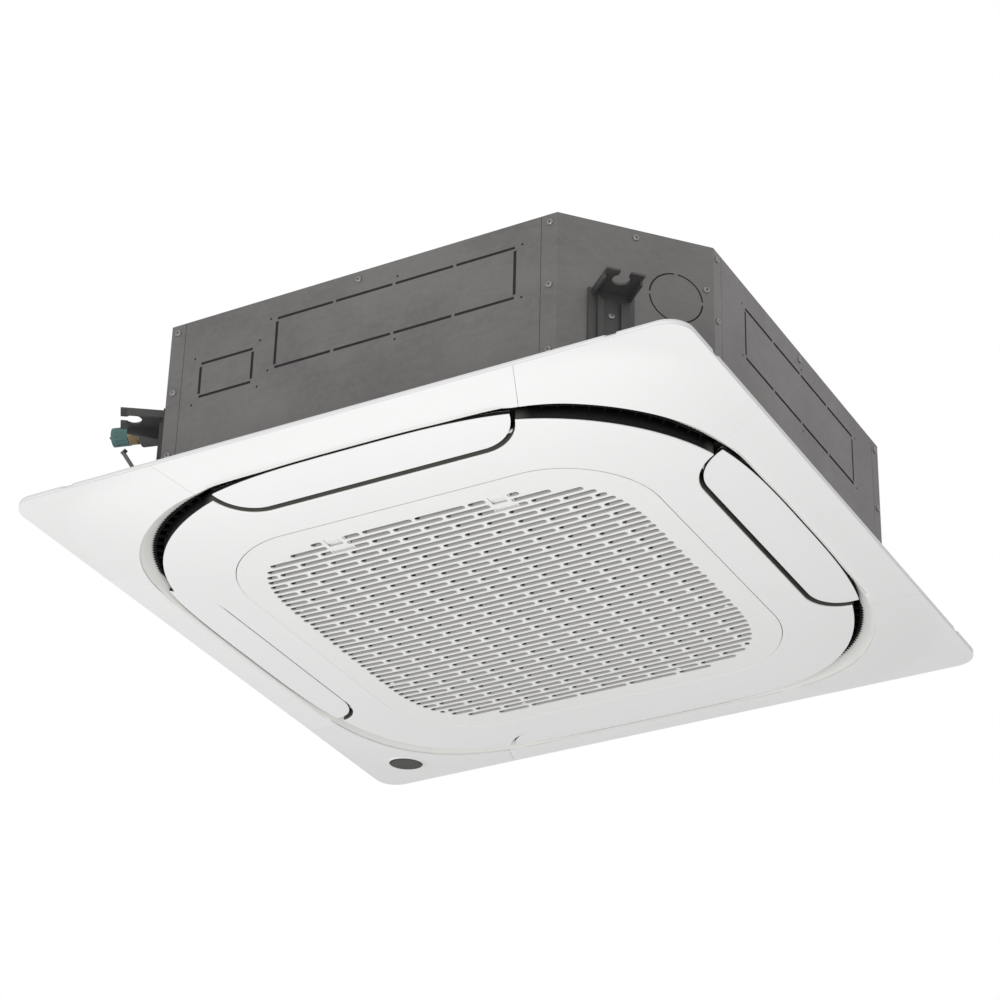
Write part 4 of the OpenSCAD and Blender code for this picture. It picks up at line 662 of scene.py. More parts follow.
# guides that the hangers of the suction grille slide in
GRILLE_HINGE_Y, GRILLE_HINGE_Z, GRILLE_HINGE_X = 295.0, -34.5, 130.0
STEM_W, STEM_Y, GUIDE_Z, GUIDE_WALL, SLIDE_GAP = 4.0, (291.5, 296.5), (-27.2, -23.7), 2.5, 0.3
stem_places = [side * GRILLE_HINGE_X + hand * 8 for side in (-1, 1) for hand in (-1, 1)]


def oblong(x, half, ends):
    """The corners of a rectangle about x, from one y to the other."""
    return np.array([(x + half, ends[0]), (x + half, ends[1]), (x - half, ends[1]), (x - half, ends[0])])


for x in stem_places:
    hole = oblong(x, STEM_W / 2 + SLIDE_GAP, (STEM_Y[0] - SLIDE_GAP, STEM_Y[1] + SLIDE_GAP))
    block = oblong(x, STEM_W / 2 + GUIDE_WALL, (STEM_Y[0] - GUIDE_WALL, SEAT_IN + 2))
    centre_shape.hoop([(block, GUIDE_Z[0]), (block, GUIDE_Z[1]), (hole, GUIDE_Z[1]), (hole, GUIDE_Z[0])])
add("panel_middle", centre_shape, white, "casing", ("panel_centre",), (0.9, 3, 40))

# dark outer wall of the middle section
channel_dark = Finish("channel_dark", Roughness=0.7, Specular_IOR_Level=0.15)
channel_tone = channel_dark.blend(channel_dark.noise(40, 3), (0.050, 0.050, 0.042), (0.078, 0.078, 0.068))
# near black where the wall runs into the corner outlets: painted shade
off_axis = channel_dark.axis("X").absolute().least(channel_dark.axis("Y").absolute())
painted_shade_at_corner = channel_dark.steps(off_axis, 0.215, 0.235)
channel_dark.set(Base_Color=channel_dark.blend(painted_shade_at_corner, channel_tone, 0.006))
WALL_OUT, WALL_IN = 0.35, 3.0
edge = fill_in(centre_line(), 5)
wall.fence(shrunk(edge, WALL_OUT), shrunk(edge, WALL_IN), lifted(SKIN - 0.7), COLLAR_TOP)
add("middle_wall", wall, channel_dark, "casing")


# Air flaps
# Four long white flaps with round ends close the outlets. Each is a moulded blade with a
# turned-up edge, and two arms hold it on its hinge pins. It lies a little back from the face.
FLAP_IN, FLAP_R, FLAP_X, FLAP_LIFT, FLAP_T, FLAP_EDGE_H = 356.7, 61.3, 153.0, 3.5, 3.0, 6.0
FLAP_OUT = OPEN - 2.5


def flap_line(draw):
    """Outline of the -Y flap, anticlockwise, with its outer edge drawn in."""
    centre_y = FLAP_IN + FLAP_R
    def end_y(x): return centre_y - math.sqrt(FLAP_R ** 2 - (x - FLAP_X) ** 2)
    x = crossing(FLAP_X, FLAP_X + FLAP_R - 0.001, end_y, lambda x: on_opening(x, FLAP_OUT - draw))
    tip = math.degrees(math.atan2(end_y(x) - centre_y, x - FLAP_X))
    outer_x = np.linspace(-x, x, 61)
    outer = np.stack([outer_x, on_opening(outer_x, FLAP_OUT - draw)], 1)
    right_end = arc(FLAP_X, centre_y, FLAP_R, tip, -90, 26)
    left_end = right_end[::-1] * [-1, 1]
    return thin_out(np.concatenate([outer, right_end[1:], left_end[:-1]]) * [1, -1])


flap_white = coat("flap_white", (5, 3), 0.83, 0.87, (0.28, 0.08, 18, 3, 0.5, (1, 1, 4)),
                  (900, 2, 0.05, 0.0002), IOR=1.46)
seal_dark = coat("seal_dark", (200, 2), 0.006, (0.016, 0.016, 0.015), Roughness=0.9, Specular_IOR_Level=0.1)
ARM_X, ARM_T, PIN_END, ROD_EDGE = 157, 6, 206, 0.3
FLAP_GAP = {"front": 3.0, "right": 0.5, "back": 0.5, "left": 0.5}


def rod_x(shape, r, x0, x1, y, z, quarter=0, n=32):
    """A round bar along X, its ends a little rounded."""
    ends = ((x0, r - ROD_EDGE), (x0 + ROD_EDGE, r), (x1 - ROD_EDGE, r), (x1, r - ROD_EDGE))
    rings = [np.insert(arc(y, z, q, 0, 360 - 360 / n, n), 0, x, 1) for x, q in ends]
    shape.loft(rings, quarter=quarter)


def upstand(shape, line, draws, foot, top, quarter):
    """A wall on a flap's edge, between two outlines drawn in by draws."""
    for_hoop = []
    for draw, at_top in ((draws[0], 0), (draws[0], 1), (draws[1], 1), (draws[1], 0)):
        ring = shrunk(line, draw)
        for_hoop.append((turned(ring, quarter), top(*ring.T) if at_top else foot(*ring.T)))
    return shape.hoop(for_hoop)


on_blade, edge_foot = lifted(FLAP_LIFT), lifted(FLAP_LIFT + FLAP_T - 0.3)


def edge_top(x, y):
    """The top of a flap's turned-up edge, kept under the bridges."""
    return np.maximum(np.minimum(on_blade(x, y) + FLAP_EDGE_H, BRIDGE_LOW - 0.6), edge_foot(x, y) + 0.05)


for quarter, side_name in enumerate(FLAP_GAP):
    line = fill_in(flap_line(FLAP_GAP[side_name]), 8)
    flap = Shape().plate(line, grid=12, under=on_blade, thick=FLAP_T, quarter=quarter)
    upstand(flap, line, (0.3, 2.0), edge_foot, edge_top, quarter)
    for side in (-1, 1):
        x0, x1 = sorted((side * ARM_X, side * (ARM_X + ARM_T)))
        outer, inner = HINGE_Y - 2 * EYE_R, HINGE_Y + EYE_R
        feet = [float(on_blade(x0, y)) + 1.4 for y in (outer - 6, outer - 8, inner)]
        profile = [*arc(HINGE_Y, HINGE_Z, EYE_R, -30, 180, 22), (outer, HINGE_Z - 3),
                   (outer - 6, feet[0] + 4), (outer - 8, feet[1]), (inner, feet[2])]
        flap.slab(x0, x1, profile, quarter)
        rod_x(flap, PIN_R, *sorted((side * (ARM_X + 1), side * PIN_END)), HINGE_Y, HINGE_Z, quarter)
    body = side_name + "_flap"
    add(body + "_blade", flap, flap_white, body, ("flap_" + side_name,), (0.8, 3, 40))
    # soft dark seal round the edge
    at_line = on_blade(*line.T)
    seal_foot = at_line + 0.9
    seal_top = np.maximum(np.minimum(at_line + FLAP_EDGE_H - 0.8, BRIDGE_LOW - 1.0), seal_foot + 0.1)
    seal = upstand(Shape(), line, (-0.25, 0.8), lambda x, y: seal_foot, lambda x, y: seal_top, quarter)
    add(body + "_seal", seal, seal_dark, body)


# Comb inserts
# Black combs stand in the corner outlets, just inside the flared collar, and spread the air.
comb_dark = coat("comb_dark", (60, 2), 0.005, 0.010, Roughness=0.8, Specular_IOR_Level=0.1)
COMB_FROM, COMB_T, COMB_TOOTH, COMB_STEPS, COMB_LOW, LID_T = 28.8, 1.4, 4.2, 42, 0.62, 1.0
LID_Z, PAST_BRIDGE = COLLAR_TOP - LID_T, BRIDGE_X + BRIDGE_T + 2
comb = Shape()
angles = np.linspace(COMB_FROM, 90 - COMB_FROM, 2 * COMB_STEPS + 1)
edge = np.array([squircle(OPEN, OPEN_POWER, 1, a, a + 1)[0] for a in angles])
unit = edge / np.hypot(*edge.T)[:, None]
outer = edge - unit * (tucked(edge) + 0.6)[:, None]
inner = np.array([squircle(CENTRE, CENTRE_POWER, 1, a, a + 1)[0] for a in angles]) + unit * 0.2
low = behind_cover(*flared(edge).T)
from_end = np.clip((45 - COMB_FROM - np.abs(angles - 45)) / 4, 0.05, 1)
low += (LID_Z - low) * (1 - (1 - COMB_LOW) * from_end)
teeth = np.where(np.arange(len(angles)) % 2 == 1, COMB_TOOTH, 0.0)
teeth *= np.clip(widened(np.abs(edge).min(1)) / 6, 0, 1)
for quarter in range(4):
    sections = []
    for o, i, w, z, tooth in zip(outer, inner, unit, low, teeth):
        tip, behind = o + w * tooth, o - w * COMB_T
        section = [(*tip, z), (*tip, z + 0.5), (*o, z + 0.8), (*o, COLLAR_TOP), (*i, COLLAR_TOP), (*i, LID_Z),
                   (*behind, LID_Z), (*behind, z)]
        sections.append(section)
    comb.loft(sections, quarter=quarter)
    # a lid over the corner, from bridge to bridge
    away = [p for p in squircle(OPEN, OPEN_POWER, 400, -90, 0) if np.abs(p).min() > PAST_BRIDGE + 1]
    away = np.array(away)
    away *= 1 - ((tucked(away) + 0.4) / np.hypot(*away.T))[:, None]
    back = [p for p in centre_line(-0.3) if p[0] > 0 > p[1] and np.abs(p).min() > PAST_BRIDGE]
    comb.plate(fill_in(np.concatenate([away, back[::-1]]), 12), grid=14, under=lambda x, y: 0 * x + LID_Z,
               thick=LID_T, quarter=quarter)
    # upright fins between the comb and the middle section
    for k in range(4, len(angles) - 4, 6):
        o, i = outer[k] - unit[k] * COMB_T, inner[k]
        side = np.array([-unit[k][1], unit[k][0]]) * 0.5
        comb.loft([[(*(o + s), low[k] + 1), (*(o + s), LID_Z), (*(i + s), LID_Z), (*(i + s), COLLAR_TOP - 5)]
                   for s in (-side, side)], quarter=quarter)
add("corner_combs", comb, comb_dark, "casing", ("outlet_ribs",), smooth=False)


# Suction grille
# A square of white plastic with round corners, pierced by rows of long slots. A low
# louvre stands behind each slot. On its back are a rib, the posts of the filter and the
# guides of the two latches; at its rear edge are the eyes that hang it on the hangers.
SLOT_ROWS, SLOT_PITCH, SLOT_W, SLOT_STEP, SLOT_BRIDGE, FIELD = 44, 12.24, 7.6, 76.5, 4.5, 268.0
LATCH_X, GRILLE_EDGE_T, GRILLE_FIELD_T, TAB_CLEAR = 119, 3.0, 1.7, 15
slots = []
for row in range(SLOT_ROWS):
    y = (row - (SLOT_ROWS - 1) / 2) * SLOT_PITCH
    reach = FIELD * max(0, 1 - (abs(y) / FIELD) ** 5) ** 0.2
    for k in range(-4, 5):
        x1 = k * SLOT_STEP + (row % 2) * SLOT_STEP / 2 - SLOT_BRIDGE / 2
        x0, x1 = max(-reach, x1 - SLOT_STEP + SLOT_BRIDGE), min(reach, x1)
        ends = [x0, x1]
        for tab in (-LATCH_X, LATCH_X):
            if row < 2 and x0 < tab + TAB_CLEAR and x1 > tab - TAB_CLEAR:
                ends = ends[:-1] + [tab - TAB_CLEAR, tab + TAB_CLEAR] + ends[-1:]
        slots += [(a, b, y) for a, b in zip(ends[::2], ends[1::2]) if b - a > (2 if row < 2 else 1) * SLOT_W]


def slot_line(x0, x1, y):
    r = SLOT_W / 2
    return np.concatenate([arc(x1 - r, y, r, -90, 90, 7), arc(x0 + r, y, r, 90, 270, 7)])


def grille_back(x, y):
    at_edge = np.clip(((np.abs(x) ** 5 + np.abs(y) ** 5) ** 0.2 - FIELD - 2) / 6, 0, 1)
    return dome(x, y) + GRILLE_FIELD_T + (GRILLE_EDGE_T - GRILLE_FIELD_T) * at_edge


LATCH_Y, TAB_Y, LATCH_TRAVEL = (-273.2, -233.2), (-269.2, -258.2), 6.0
holes = [slot_line(*slot) for slot in slots]
holes += [oblong(x, 10.3, (TAB_Y[0] - 0.3, TAB_Y[1] + LATCH_TRAVEL + 0.6)) for x in (-LATCH_X, LATCH_X)]
grille = Shape().plate(fill_in(rounded(GRILLE, GRILLE_R, 40), 9), holes, grid=17, over=grille_back)
RIB_HALF, FILTER_Z, KNUCKLE_R, KNUCKLE_HALF = 289.0, -33.9, 3.2, 5.6
UNDER_FILTER, in_skin = FILTER_Z - 0.3, lifted(1.2)
rib = [fill_in(rounded(RIB_HALF - inset, GRILLE_R - 1 - inset, 20), 14) for inset in (0, 3)]
grille.fence(*rib, lifted(GRILLE_FIELD_T - 0.5), UNDER_FILTER)
POST_FAR, POST_SIDE = 255.0, 120.0
for x, y in ((POST_FAR, POST_SIDE), (POST_FAR, -POST_SIDE), (-POST_FAR, POST_SIDE), (-POST_FAR, -POST_SIDE),
             (POST_SIDE, POST_FAR), (-POST_SIDE, POST_FAR)):
    low = float(in_skin(x, y))
    grille.lathe([(0.3, low), (3.6, low), (3, low + 1.5), (3, UNDER_FILTER - 0.5), (2.5, UNDER_FILTER),
                  (0.3, UNDER_FILTER)], x, y, 24, closed=False)
for side in (-1, 1):
    x = side * GRILLE_HINGE_X
    points, faces = eye(x - KNUCKLE_HALF, x + KNUCKLE_HALF, GRILLE_HINGE_Y, -GRILLE_HINGE_Z, 1.55, KNUCKLE_R,
                        -float(in_skin(x, GRILLE_HINGE_Y)))
    grille.put([(a, b, -c) for a, b, c in points], [f[::-1] for f in faces])
    for hand in (-1, 1):
        x = side * LATCH_X + hand * 16.5
        grille.box((x - 1, x + 1), LATCH_Y, (float(in_skin(x, LATCH_Y[0])), UNDER_FILTER))
grille_white = Finish("grille_white", IOR=1.46)
face_white = grille_white.blend(grille_white.noise(5, 3), (0.83, 0.83, 0.82), (0.87, 0.87, 0.86))
upright = grille_white.axis("Z", grille_white.node("ShaderNodeNewGeometry", out="True Normal")).absolute()
in_field = grille_white.steps(grille_white.axis("X").absolute(), 0.290, 0.286)
# the white slot walls inside the field are coloured grey: painted shade
slot_wall_painted_shade = grille_white.steps(upright, 0.75, 0.35) * in_field
grille_white.set(Base_Color=grille_white.blend(slot_wall_painted_shade, face_white, (0.60, 0.59, 0.57)),
                 Roughness=0.32 + 0.08 * grille_white.noise(22, 3))
grille_white.bump(grille_white.noise(900, 2), 0.05, 0.0002)
add("grille_plate", grille, grille_white, "grille", ("suction_grille",), (0.35, 2, 50))


def repeat(name, spots, piece, finish, turns=None, sizes=None):
    """Geometry nodes set a piece on every spot, turned and sized there, and make one mesh of them."""
    carrier_mesh = bpy.data.meshes.new(name)
    carrier_mesh.from_pydata([tuple(p) for p in spots], [], [])
    carrier = bpy.data.objects.new(name, carrier_mesh)
    scene.collection.objects.link(carrier)
    group = bpy.data.node_groups.new(name, "GeometryNodeTree")
    group.interface.new_socket("Geometry", in_out="INPUT", socket_type="NodeSocketGeometry")
    pieces = group.interface.new_socket("Piece", in_out="INPUT", socket_type="NodeSocketObject")
    group.interface.new_socket("Geometry", in_out="OUTPUT", socket_type="NodeSocketGeometry")
    made = Tree(group)
    spots_in = made.node("NodeGroupInput", out="Geometry")
    piece_in = Socket(made, spots_in.out.node.outputs["Piece"])
    shape = made.node("GeometryNodeObjectInfo", {}, {"Object": piece_in}, "Geometry")
    sockets = {"Points": spots_in, "Instance": shape}
    for key, socket, values, blank in (("turn", "Rotation", turns, 0.0), ("size", "Scale", sizes, 1.0)):
        data = carrier_mesh.attributes.new(key, "FLOAT_VECTOR", "POINT").data
        data.foreach_set("vector", np.ravel(values or [(blank,) * 3] * len(spots)).astype(float))
        sockets[socket] = made.node("GeometryNodeInputNamedAttribute", {"data_type": "FLOAT_VECTOR"},
                                    {"Name": key})
    real = made.node("GeometryNodeRealizeInstances", {},
                     {"Geometry": made.node("GeometryNodeInstanceOnPoints", {}, sockets)})
    coated = made.node("GeometryNodeSetMaterial", {}, {"Geometry": real, "Material": finish.material})
    made.links.new(coated.out, group.nodes.new("NodeGroupOutput").inputs["Geometry"])
    modifier = carrier.modifiers.new("repeat", "NODES")
    modifier.node_group = group
    modifier[pieces.identifier] = piece
    bpy.context.view_layer.update()
    mesh = bpy.data.meshes.new_from_object(carrier.evaluated_get(bpy.context.evaluated_depsgraph_get()))
    bpy.data.objects.remove(carrier)
    bpy.data.objects.remove(piece)
    mesh.name = name
    return mesh


def loose(shape, name):
    """A piece to repeat, drawn about its own middle in metres."""
    mesh = mesh_of(name, shape)
    mesh.set_sharp_from_angle(angle=math.radians(35))
    thing = bpy.data.objects.new(name, mesh)
    scene.collection.objects.link(thing)
    return thing


# louvres: one low blade behind the rear edge of each slot, white plastic coloured grey as painted shade
LOUVRE_T, LOUVRE_H, LOUVRE_SHY, METRE = 1.0, 4.4, 4.6, (-500, 500)
louvre = Shape().slab(*METRE, [(0, 0), (0, LOUVRE_H - 0.3), (0.2, LOUVRE_H), (LOUVRE_T - 0.2, LOUVRE_H),
                               (LOUVRE_T, LOUVRE_H - 0.3), (LOUVRE_T, 0)])
spots = [((x0 + LOUVRE_SHY + x1) / 2000, (y + SLOT_W / 2 + 0.05) / 1000,
          (float(dome((x0 + x1) / 2, y)) + 1.0 - SEAT_H) / 1000) for x0, x1, y in slots]
# the grey of these white plastic louvres is painted shade
louvre_painted_shade = coat("louvre_white_painted_shade", (8, 3), (0.58, 0.57, 0.55), (0.64, 0.63, 0.61), (0.45, 0.1, 40, 3),
                   IOR=1.46)
louvres = repeat("grille_louvres", spots, loose(louvre, "louvre"), louvre_painted_shade,
                 sizes=[((x1 - x0 - LOUVRE_SHY) / 1000, 1, 1) for x0, x1, y in slots])
settle("grille_louvre_blades", louvres, louvre_painted_shade, "grille")

# Latches of the grille
# Two white slides behind the front edge, each with a tab for a finger in its opening.
latch_white = coat("latch_white", (12, 2), (0.80, 0.80, 0.79), (0.84, 0.84, 0.83), (0.34, 0.1, 40, 3),
                   (1100, 2, 0.08, 0.0002), IOR=1.46)
for side, side_name in ((-1, "left"), (1, "right")):
    x = side * LATCH_X
    latch = Shape().box((x - 15.2, x + 15.2), LATCH_Y, (-38.4, -34.8))
    tab = []
    for inset, lift in ((0.8, 0.15), (0.2, 0.35), (0, 0.9), (0, None)):
        across = np.linspace(x - 10 + inset, x + 10 - inset, 9)
        line = np.array([(a, TAB_Y[0] + inset) for a in across] +
                        [(a, TAB_Y[1] - inset) for a in across[::-1]])
        tab.append((line, -37.4 if lift is None else dome(*line.T) + lift))
    latch.hoop(tab, False)
    body = side_name + "_latch"
    add(body + "_slide", latch, latch_white, body, ("latch_" + side_name,), (0.4, 2, 40))

# Hangers of the grille
# Steel pins through the grille's eyes, each carried by two stems with a wider head. They
# slide down in their guides, so that the grille comes clear of the panel before it swings.
pin_steel = coat("pin_steel", (90, 3), (0.42, 0.42, 0.41), (0.55, 0.55, 0.54),
                 (0.28, 0.2, 160, 3, 0.5, (1, 6, 6)), Metallic=0.9)
hangers = Shape()
for side in (-1, 1):
    x = side * GRILLE_HINGE_X
    rod_x(hangers, 1.5, x - 10, x + 10, GRILLE_HINGE_Y, GRILLE_HINGE_Z, n=24)
STOP_Z, STOP_H = -13.4, 2.0
for x in stem_places:
    hangers.box((x - 2, x + 2), STEM_Y, (GRILLE_HINGE_Z - 0.5, STOP_Z + 0.5))
    hangers.box((x - 3, x + 3), (STEM_Y[0] - 1, STEM_Y[1] + 1), (STOP_Z, STOP_Z + STOP_H))
    rod_x(hangers, 2.5, x - 2, x + 2, GRILLE_HINGE_Y, GRILLE_HINGE_Z, n=24)
add("grille_hanger_pins", hangers, pin_steel, "hangers", ("grille_hangers",), (0.3, 2, 40))


# Casing sheets
# Six bent sheets of galvanised steel, cut and punched, with the knockouts' slots still
# bridged. They lap at the corners, where screws hold them. The pipe cover is the same sheet.
def dress(node, finish, width=0.3, segments=2, angle=35):
    """A CAD piece made fit to be looked at: merged, its flats joined, edges rounded, smooth where round."""
    source = frame["nodes"][node]
    mesh = source.data.copy()
    mesh.name = node + "_made"
    cleaned(mesh, 2e-5, 0.4)
    mesh.polygons.foreach_set("use_smooth", [True] * len(mesh.polygons))
    mesh.set_sharp_from_angle(angle=math.radians(angle))
    return settle(node + "_made", mesh, finish, source["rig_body"], (node,),
                  (width, segments, angle) if width else ())


zinc = Finish("galvanised_sheet", Metallic=0.55)
streaks = zinc.noise(26, 4, 0.6, (1, 1, 5))
spangle = zinc.node("ShaderNodeTexVoronoi", {"feature": "F1"}, {"Vector": zinc.place, "Scale": 150}, "Color")
spangle_grey = zinc.red(spangle)
cloud = zinc.steps(zinc.noise(7, 4) + 0.4 * (streaks - 0.5), 0.3, 0.7)
tone = zinc.blend(cloud, (0.140, 0.132, 0.131), (0.182, 0.172, 0.170))
zinc.set(Base_Color=zinc.blend(0.14 * spangle_grey, tone, (0.34, 0.33, 0.33)),
         Roughness=0.46 + 0.12 * spangle_grey + 0.12 * (streaks - 0.5))
zinc.bump(zinc.noise(60, 3), 0.12, 0.0006)
for node in ("top_plate", "front_sheet", "right_sheet", "back_sheet", "left_sheet", "corner_sheets",
             "pipe_cover"):
    dress(node, zinc, 0.25)

# Screws of the casing
# Pan-head screws of bright steel with a cross recess, in the laps of the corner sheets
# and in the brackets. Another four, larger, hold the panel to the bracket feet.
screw_steel = coat("screw_steel", (220, 3), (0.20, 0.195, 0.19), (0.34, 0.335, 0.33), (0.30, 0.25, 400, 2),
                   (1500, 2, 0.1, 0.0001), Metallic=0.85)


def islands(node):
    """The separate solids of a CAD piece, as arrays of points in metres."""
    mesh = frame["nodes"][node].data
    corners = np.round(np.array([tuple(v.co) for v in mesh.vertices]), 5)
    points, merged = np.unique(corners, axis=0, return_inverse=True)
    ends = merged.ravel()[np.array([tuple(edge.vertices) for edge in mesh.edges])]
    label = np.arange(len(points))
    while (label[ends[:, 0]] != label[ends[:, 1]]).any():
        least = label[ends].min(1)
        for end in ends.T:
            np.minimum.at(label, end, least)
    return [points[label == k] for k in np.unique(label)]


def screw_piece(name, shank_r, shank_l, head_r, head_h, cross_l, cross_w, n=48):
    """A cross-head screw that points down, with its seat at 0 and its head above."""
    t = np.linspace(0, 2 * math.pi, n, endpoint=False)
    round_line = np.stack([np.cos(t), np.sin(t)], 1)
    off = np.mod(t + math.pi / 4, math.pi / 2) - math.pi / 4
    cross = np.minimum(cross_l / np.cos(off), cross_w / np.maximum(np.abs(np.sin(off)), 1e-6))
    rings = [(r * round_line, z) for r, z in (
        (shank_r * 0.5, -shank_l), (shank_r * 0.9, -shank_l + 0.4), (shank_r, -shank_l + 0.8), (shank_r, 0),
        (head_r, 0), (head_r, 0.25 * head_h), (head_r * 0.93, 0.6 * head_h), (head_r * 0.78, 0.86 * head_h),
        (head_r * 0.6, 0.97 * head_h))]
    rings += [(share * cross[:, None] * round_line, z) for share, z in
              ((1, head_h), (0.7, 0.3 * head_h), (0.3, 0.15 * head_h))]
    return loose(Shape().hoop(rings, False), name)


def screw_spots(node):
    """Seat and turn of each screw of a CAD piece: its axis runs from the thin end to the wide end."""
    spots, turns = [], []
    for points in islands(node):
        middle = (points.min(0) + points.max(0)) / 2
        off = points - points.mean(0)
        _, _, axes = np.linalg.svd(off, full_matrices=False)
        rims = []
        for axis in axes:
            flat = off - np.outer(off @ axis, axis)
            radius = np.hypot(*np.array([flat @ other for other in axes if abs(other @ axis) < 0.5]))
            rims.append(len(np.unique(np.round(radius, 5))))
        axis = axes[int(np.argmin(rims))]
        height = (points - middle) @ axis
        far = np.linalg.norm((points - middle) - np.outer(height, axis), axis=1)
        wide = far > far.max() * 0.95
        if height[wide].mean() < height[~wide].mean():
            axis, height = -axis, -height
        spots.append(tuple(middle + axis * height[wide].min()))
        turns.append(tuple(Vector(axis).to_track_quat("Z", "Y").to_euler()))
    return spots, turns


screw_at, screw_turn = screw_spots("casing_screws")
pan_head = screw_piece("pan_head", 1.8, 4.0, 4.5, 2.0, 2.1, 0.55)
screws = repeat("casing_screw_set", screw_at, pan_head, screw_steel, screw_turn)
settle("casing_screw_heads", screws, screw_steel, "casing", ("casing_screws",))
dress("panel_screws", screw_steel)

# Hanger brackets and panel hooks
# Bent steel plates, darker than the casing, with raised ribs, open seats for the hanger
# rods and feet for the panel screws. Two wire hooks hold the panel while it is screwed on.
bracket = coat("bracket_steel", (18, 4), (0.062, 0.061, 0.060), (0.105, 0.103, 0.101), (0.42, 0.2, 18, 4),
               (140, 3, 0.15, 0.0003), Metallic=0.5)
plates = dress("hanger_brackets", bracket, 0.4)
# the lips under the seats are drawn in to a narrow rim
SEAT_X, SEAT_Y, LIP_LOW, LIP_EDGE, LIP_OFF = 355, 390, -14.0, -7.5, 20
for point in plates.data.vertices:
    x, y, z = (abs(point.co.x) * 1000 - SEAT_X, abs(point.co.y) * 1000 - SEAT_Y, point.co.z * 1000)
    if abs(z - LIP_LOW) < 0.5 and abs(x - y) / math.sqrt(2) > LIP_OFF:
        point.co.z = LIP_EDGE / 1000
wire = coat("hook_wire", (120, 3), 0.10, (0.16, 0.16, 0.155), (0.35, 0.2, 260, 2), Metallic=0.8)
for node in ("hook_left", "hook_right"):
    dress(node, wire)

# Insulation and seals
# Closed-cell foam lines the sheets and the top; its near-black colour is painted shade, so that the punched
# slots look black.
# Softer black foam strips seal the panel against the body.
# near-black foam colour: painted shade for the punched slots in front of it
liner_painted_shade = coat("foam_liner", (30, 4), 0.012, (0.028, 0.028, 0.027), grain=(500, 4, 0.7, 0.5, 0.0006),
             Roughness=0.9)
dress("insulation", liner_painted_shade, 0.8)
seal_foam = coat("seal_foam", (90, 4), 0.020, (0.045, 0.045, 0.044), grain=(900, 4, 0.7, 0.6, 0.0005),
                 Roughness=0.88)
dress("panel_seal", seal_foam, 0.7)

# Coil
# A pack of thin aluminium fins bent round the fan, between two steel end plates, with
# copper bends joining its tubes. The fins show as fine upright lines, with painted shade in the gaps between
# them.
fin = Finish("fin_aluminium", Metallic=0.8, Roughness=0.42)
FIN_PITCH = 0.0018
across = fin.axis("X", fin.node("ShaderNodeNewGeometry", out="Normal"))
facing_x = fin.steps(across.absolute(), 0.6, 0.8)
wave_x, wave_y = ((fin.axis(letter) * (2 * math.pi / FIN_PITCH)).sine() for letter in "XY")
fin_relief_and_gap_shade = (wave_x * (1 - facing_x) + wave_y * facing_x) * 0.5 + 0.5
# dark stripes between the fins are painted shade in the gaps; the same wave gives their bump
fin.set(Base_Color=fin.blend(fin_relief_and_gap_shade ** 2.0, 0.12, (0.62, 0.63, 0.64)))
fin.bump(fin_relief_and_gap_shade, 0.8, 0.0008)
dress("coil_fins", fin, 0.0)
dress("coil_end_plates", zinc, 0.2)
copper = coat("copper_tube", (55, 4), (0.50, 0.24, 0.13), (0.72, 0.40, 0.25), (0.26, 0.3, 55, 4),
              (300, 3, 0.1, 0.0002), Metallic=0.95)
for node in ("coil_return_bends", "gas_pipe", "liquid_pipe"):
    dress(node, copper, 0.15, angle=30)

# Pipe ends
# Brass flare nuts on both pipes, closed by ribbed teal shipping caps, behind grey foam
# sleeves where the pipes leave the casing.
brass = coat("brass_fitting", (70, 3), (0.26, 0.20, 0.11), (0.40, 0.32, 0.18), (0.25, 0.25, 70, 3),
             (400, 3, 0.12, 0.0002), Metallic=0.95)
dress("flare_nuts", brass, 0.5)
teal = coat("cap_plastic", (60, 3), (0.075, 0.165, 0.165), (0.115, 0.225, 0.225), (0.42, 0.15, 120, 2),
            IOR=1.46)
dress("flare_caps", teal, 0.4)
sleeve = coat("sleeve_foam", (45, 4), (0.085, 0.088, 0.088), (0.135, 0.138, 0.138),
              grain=(420, 4, 0.7, 0.6, 0.0006), Roughness=0.85)
dress("pipe_sleeves", sleeve, 1.0, 3)

# Drain pan, socket and hose
# A moulded pan of pale foamed plastic under the coil, with a rubber plug, and a pale
# socket on the left side fed by a short grey hose from the pump.
pan = Finish("pan_plastic")
beads = pan.node("ShaderNodeTexVoronoi", {"feature": "DISTANCE_TO_EDGE"}, {"Vector": pan.place, "Scale": 260})
pan.set(Base_Color=pan.blend(pan.steps(beads, 0.0, 0.08), (0.52, 0.52, 0.50), (0.68, 0.68, 0.66)),
        Roughness=0.5 + 0.2 * pan.noise(50, 3))
pan.bump(pan.steps(beads, 0.0, 0.1), 0.25, 0.0004)
dress("drain_pan", pan, 0.8)
socket_plastic = coat("socket_plastic", (30, 3), (0.60, 0.60, 0.58), (0.68, 0.68, 0.66), (0.36, 0.15, 90, 2),
                      IOR=1.46)
dress("drain_socket", socket_plastic, 0.5, 3)
hose = coat("drain_hose", (60, 3), 0.18, (0.25, 0.25, 0.245), Roughness=0.5)
hose.bump((hose.axis("Z") * 2400.0).sine(), 0.35, 0.0008)
dress("drain_hose", hose, 0.4)
rubber = coat("dark_rubber", (80, 3), 0.022, (0.040, 0.040, 0.038), grain=(700, 3, 0.2, 0.0003),
              Roughness=0.78)
dress("pan_plug", rubber, 0.6)

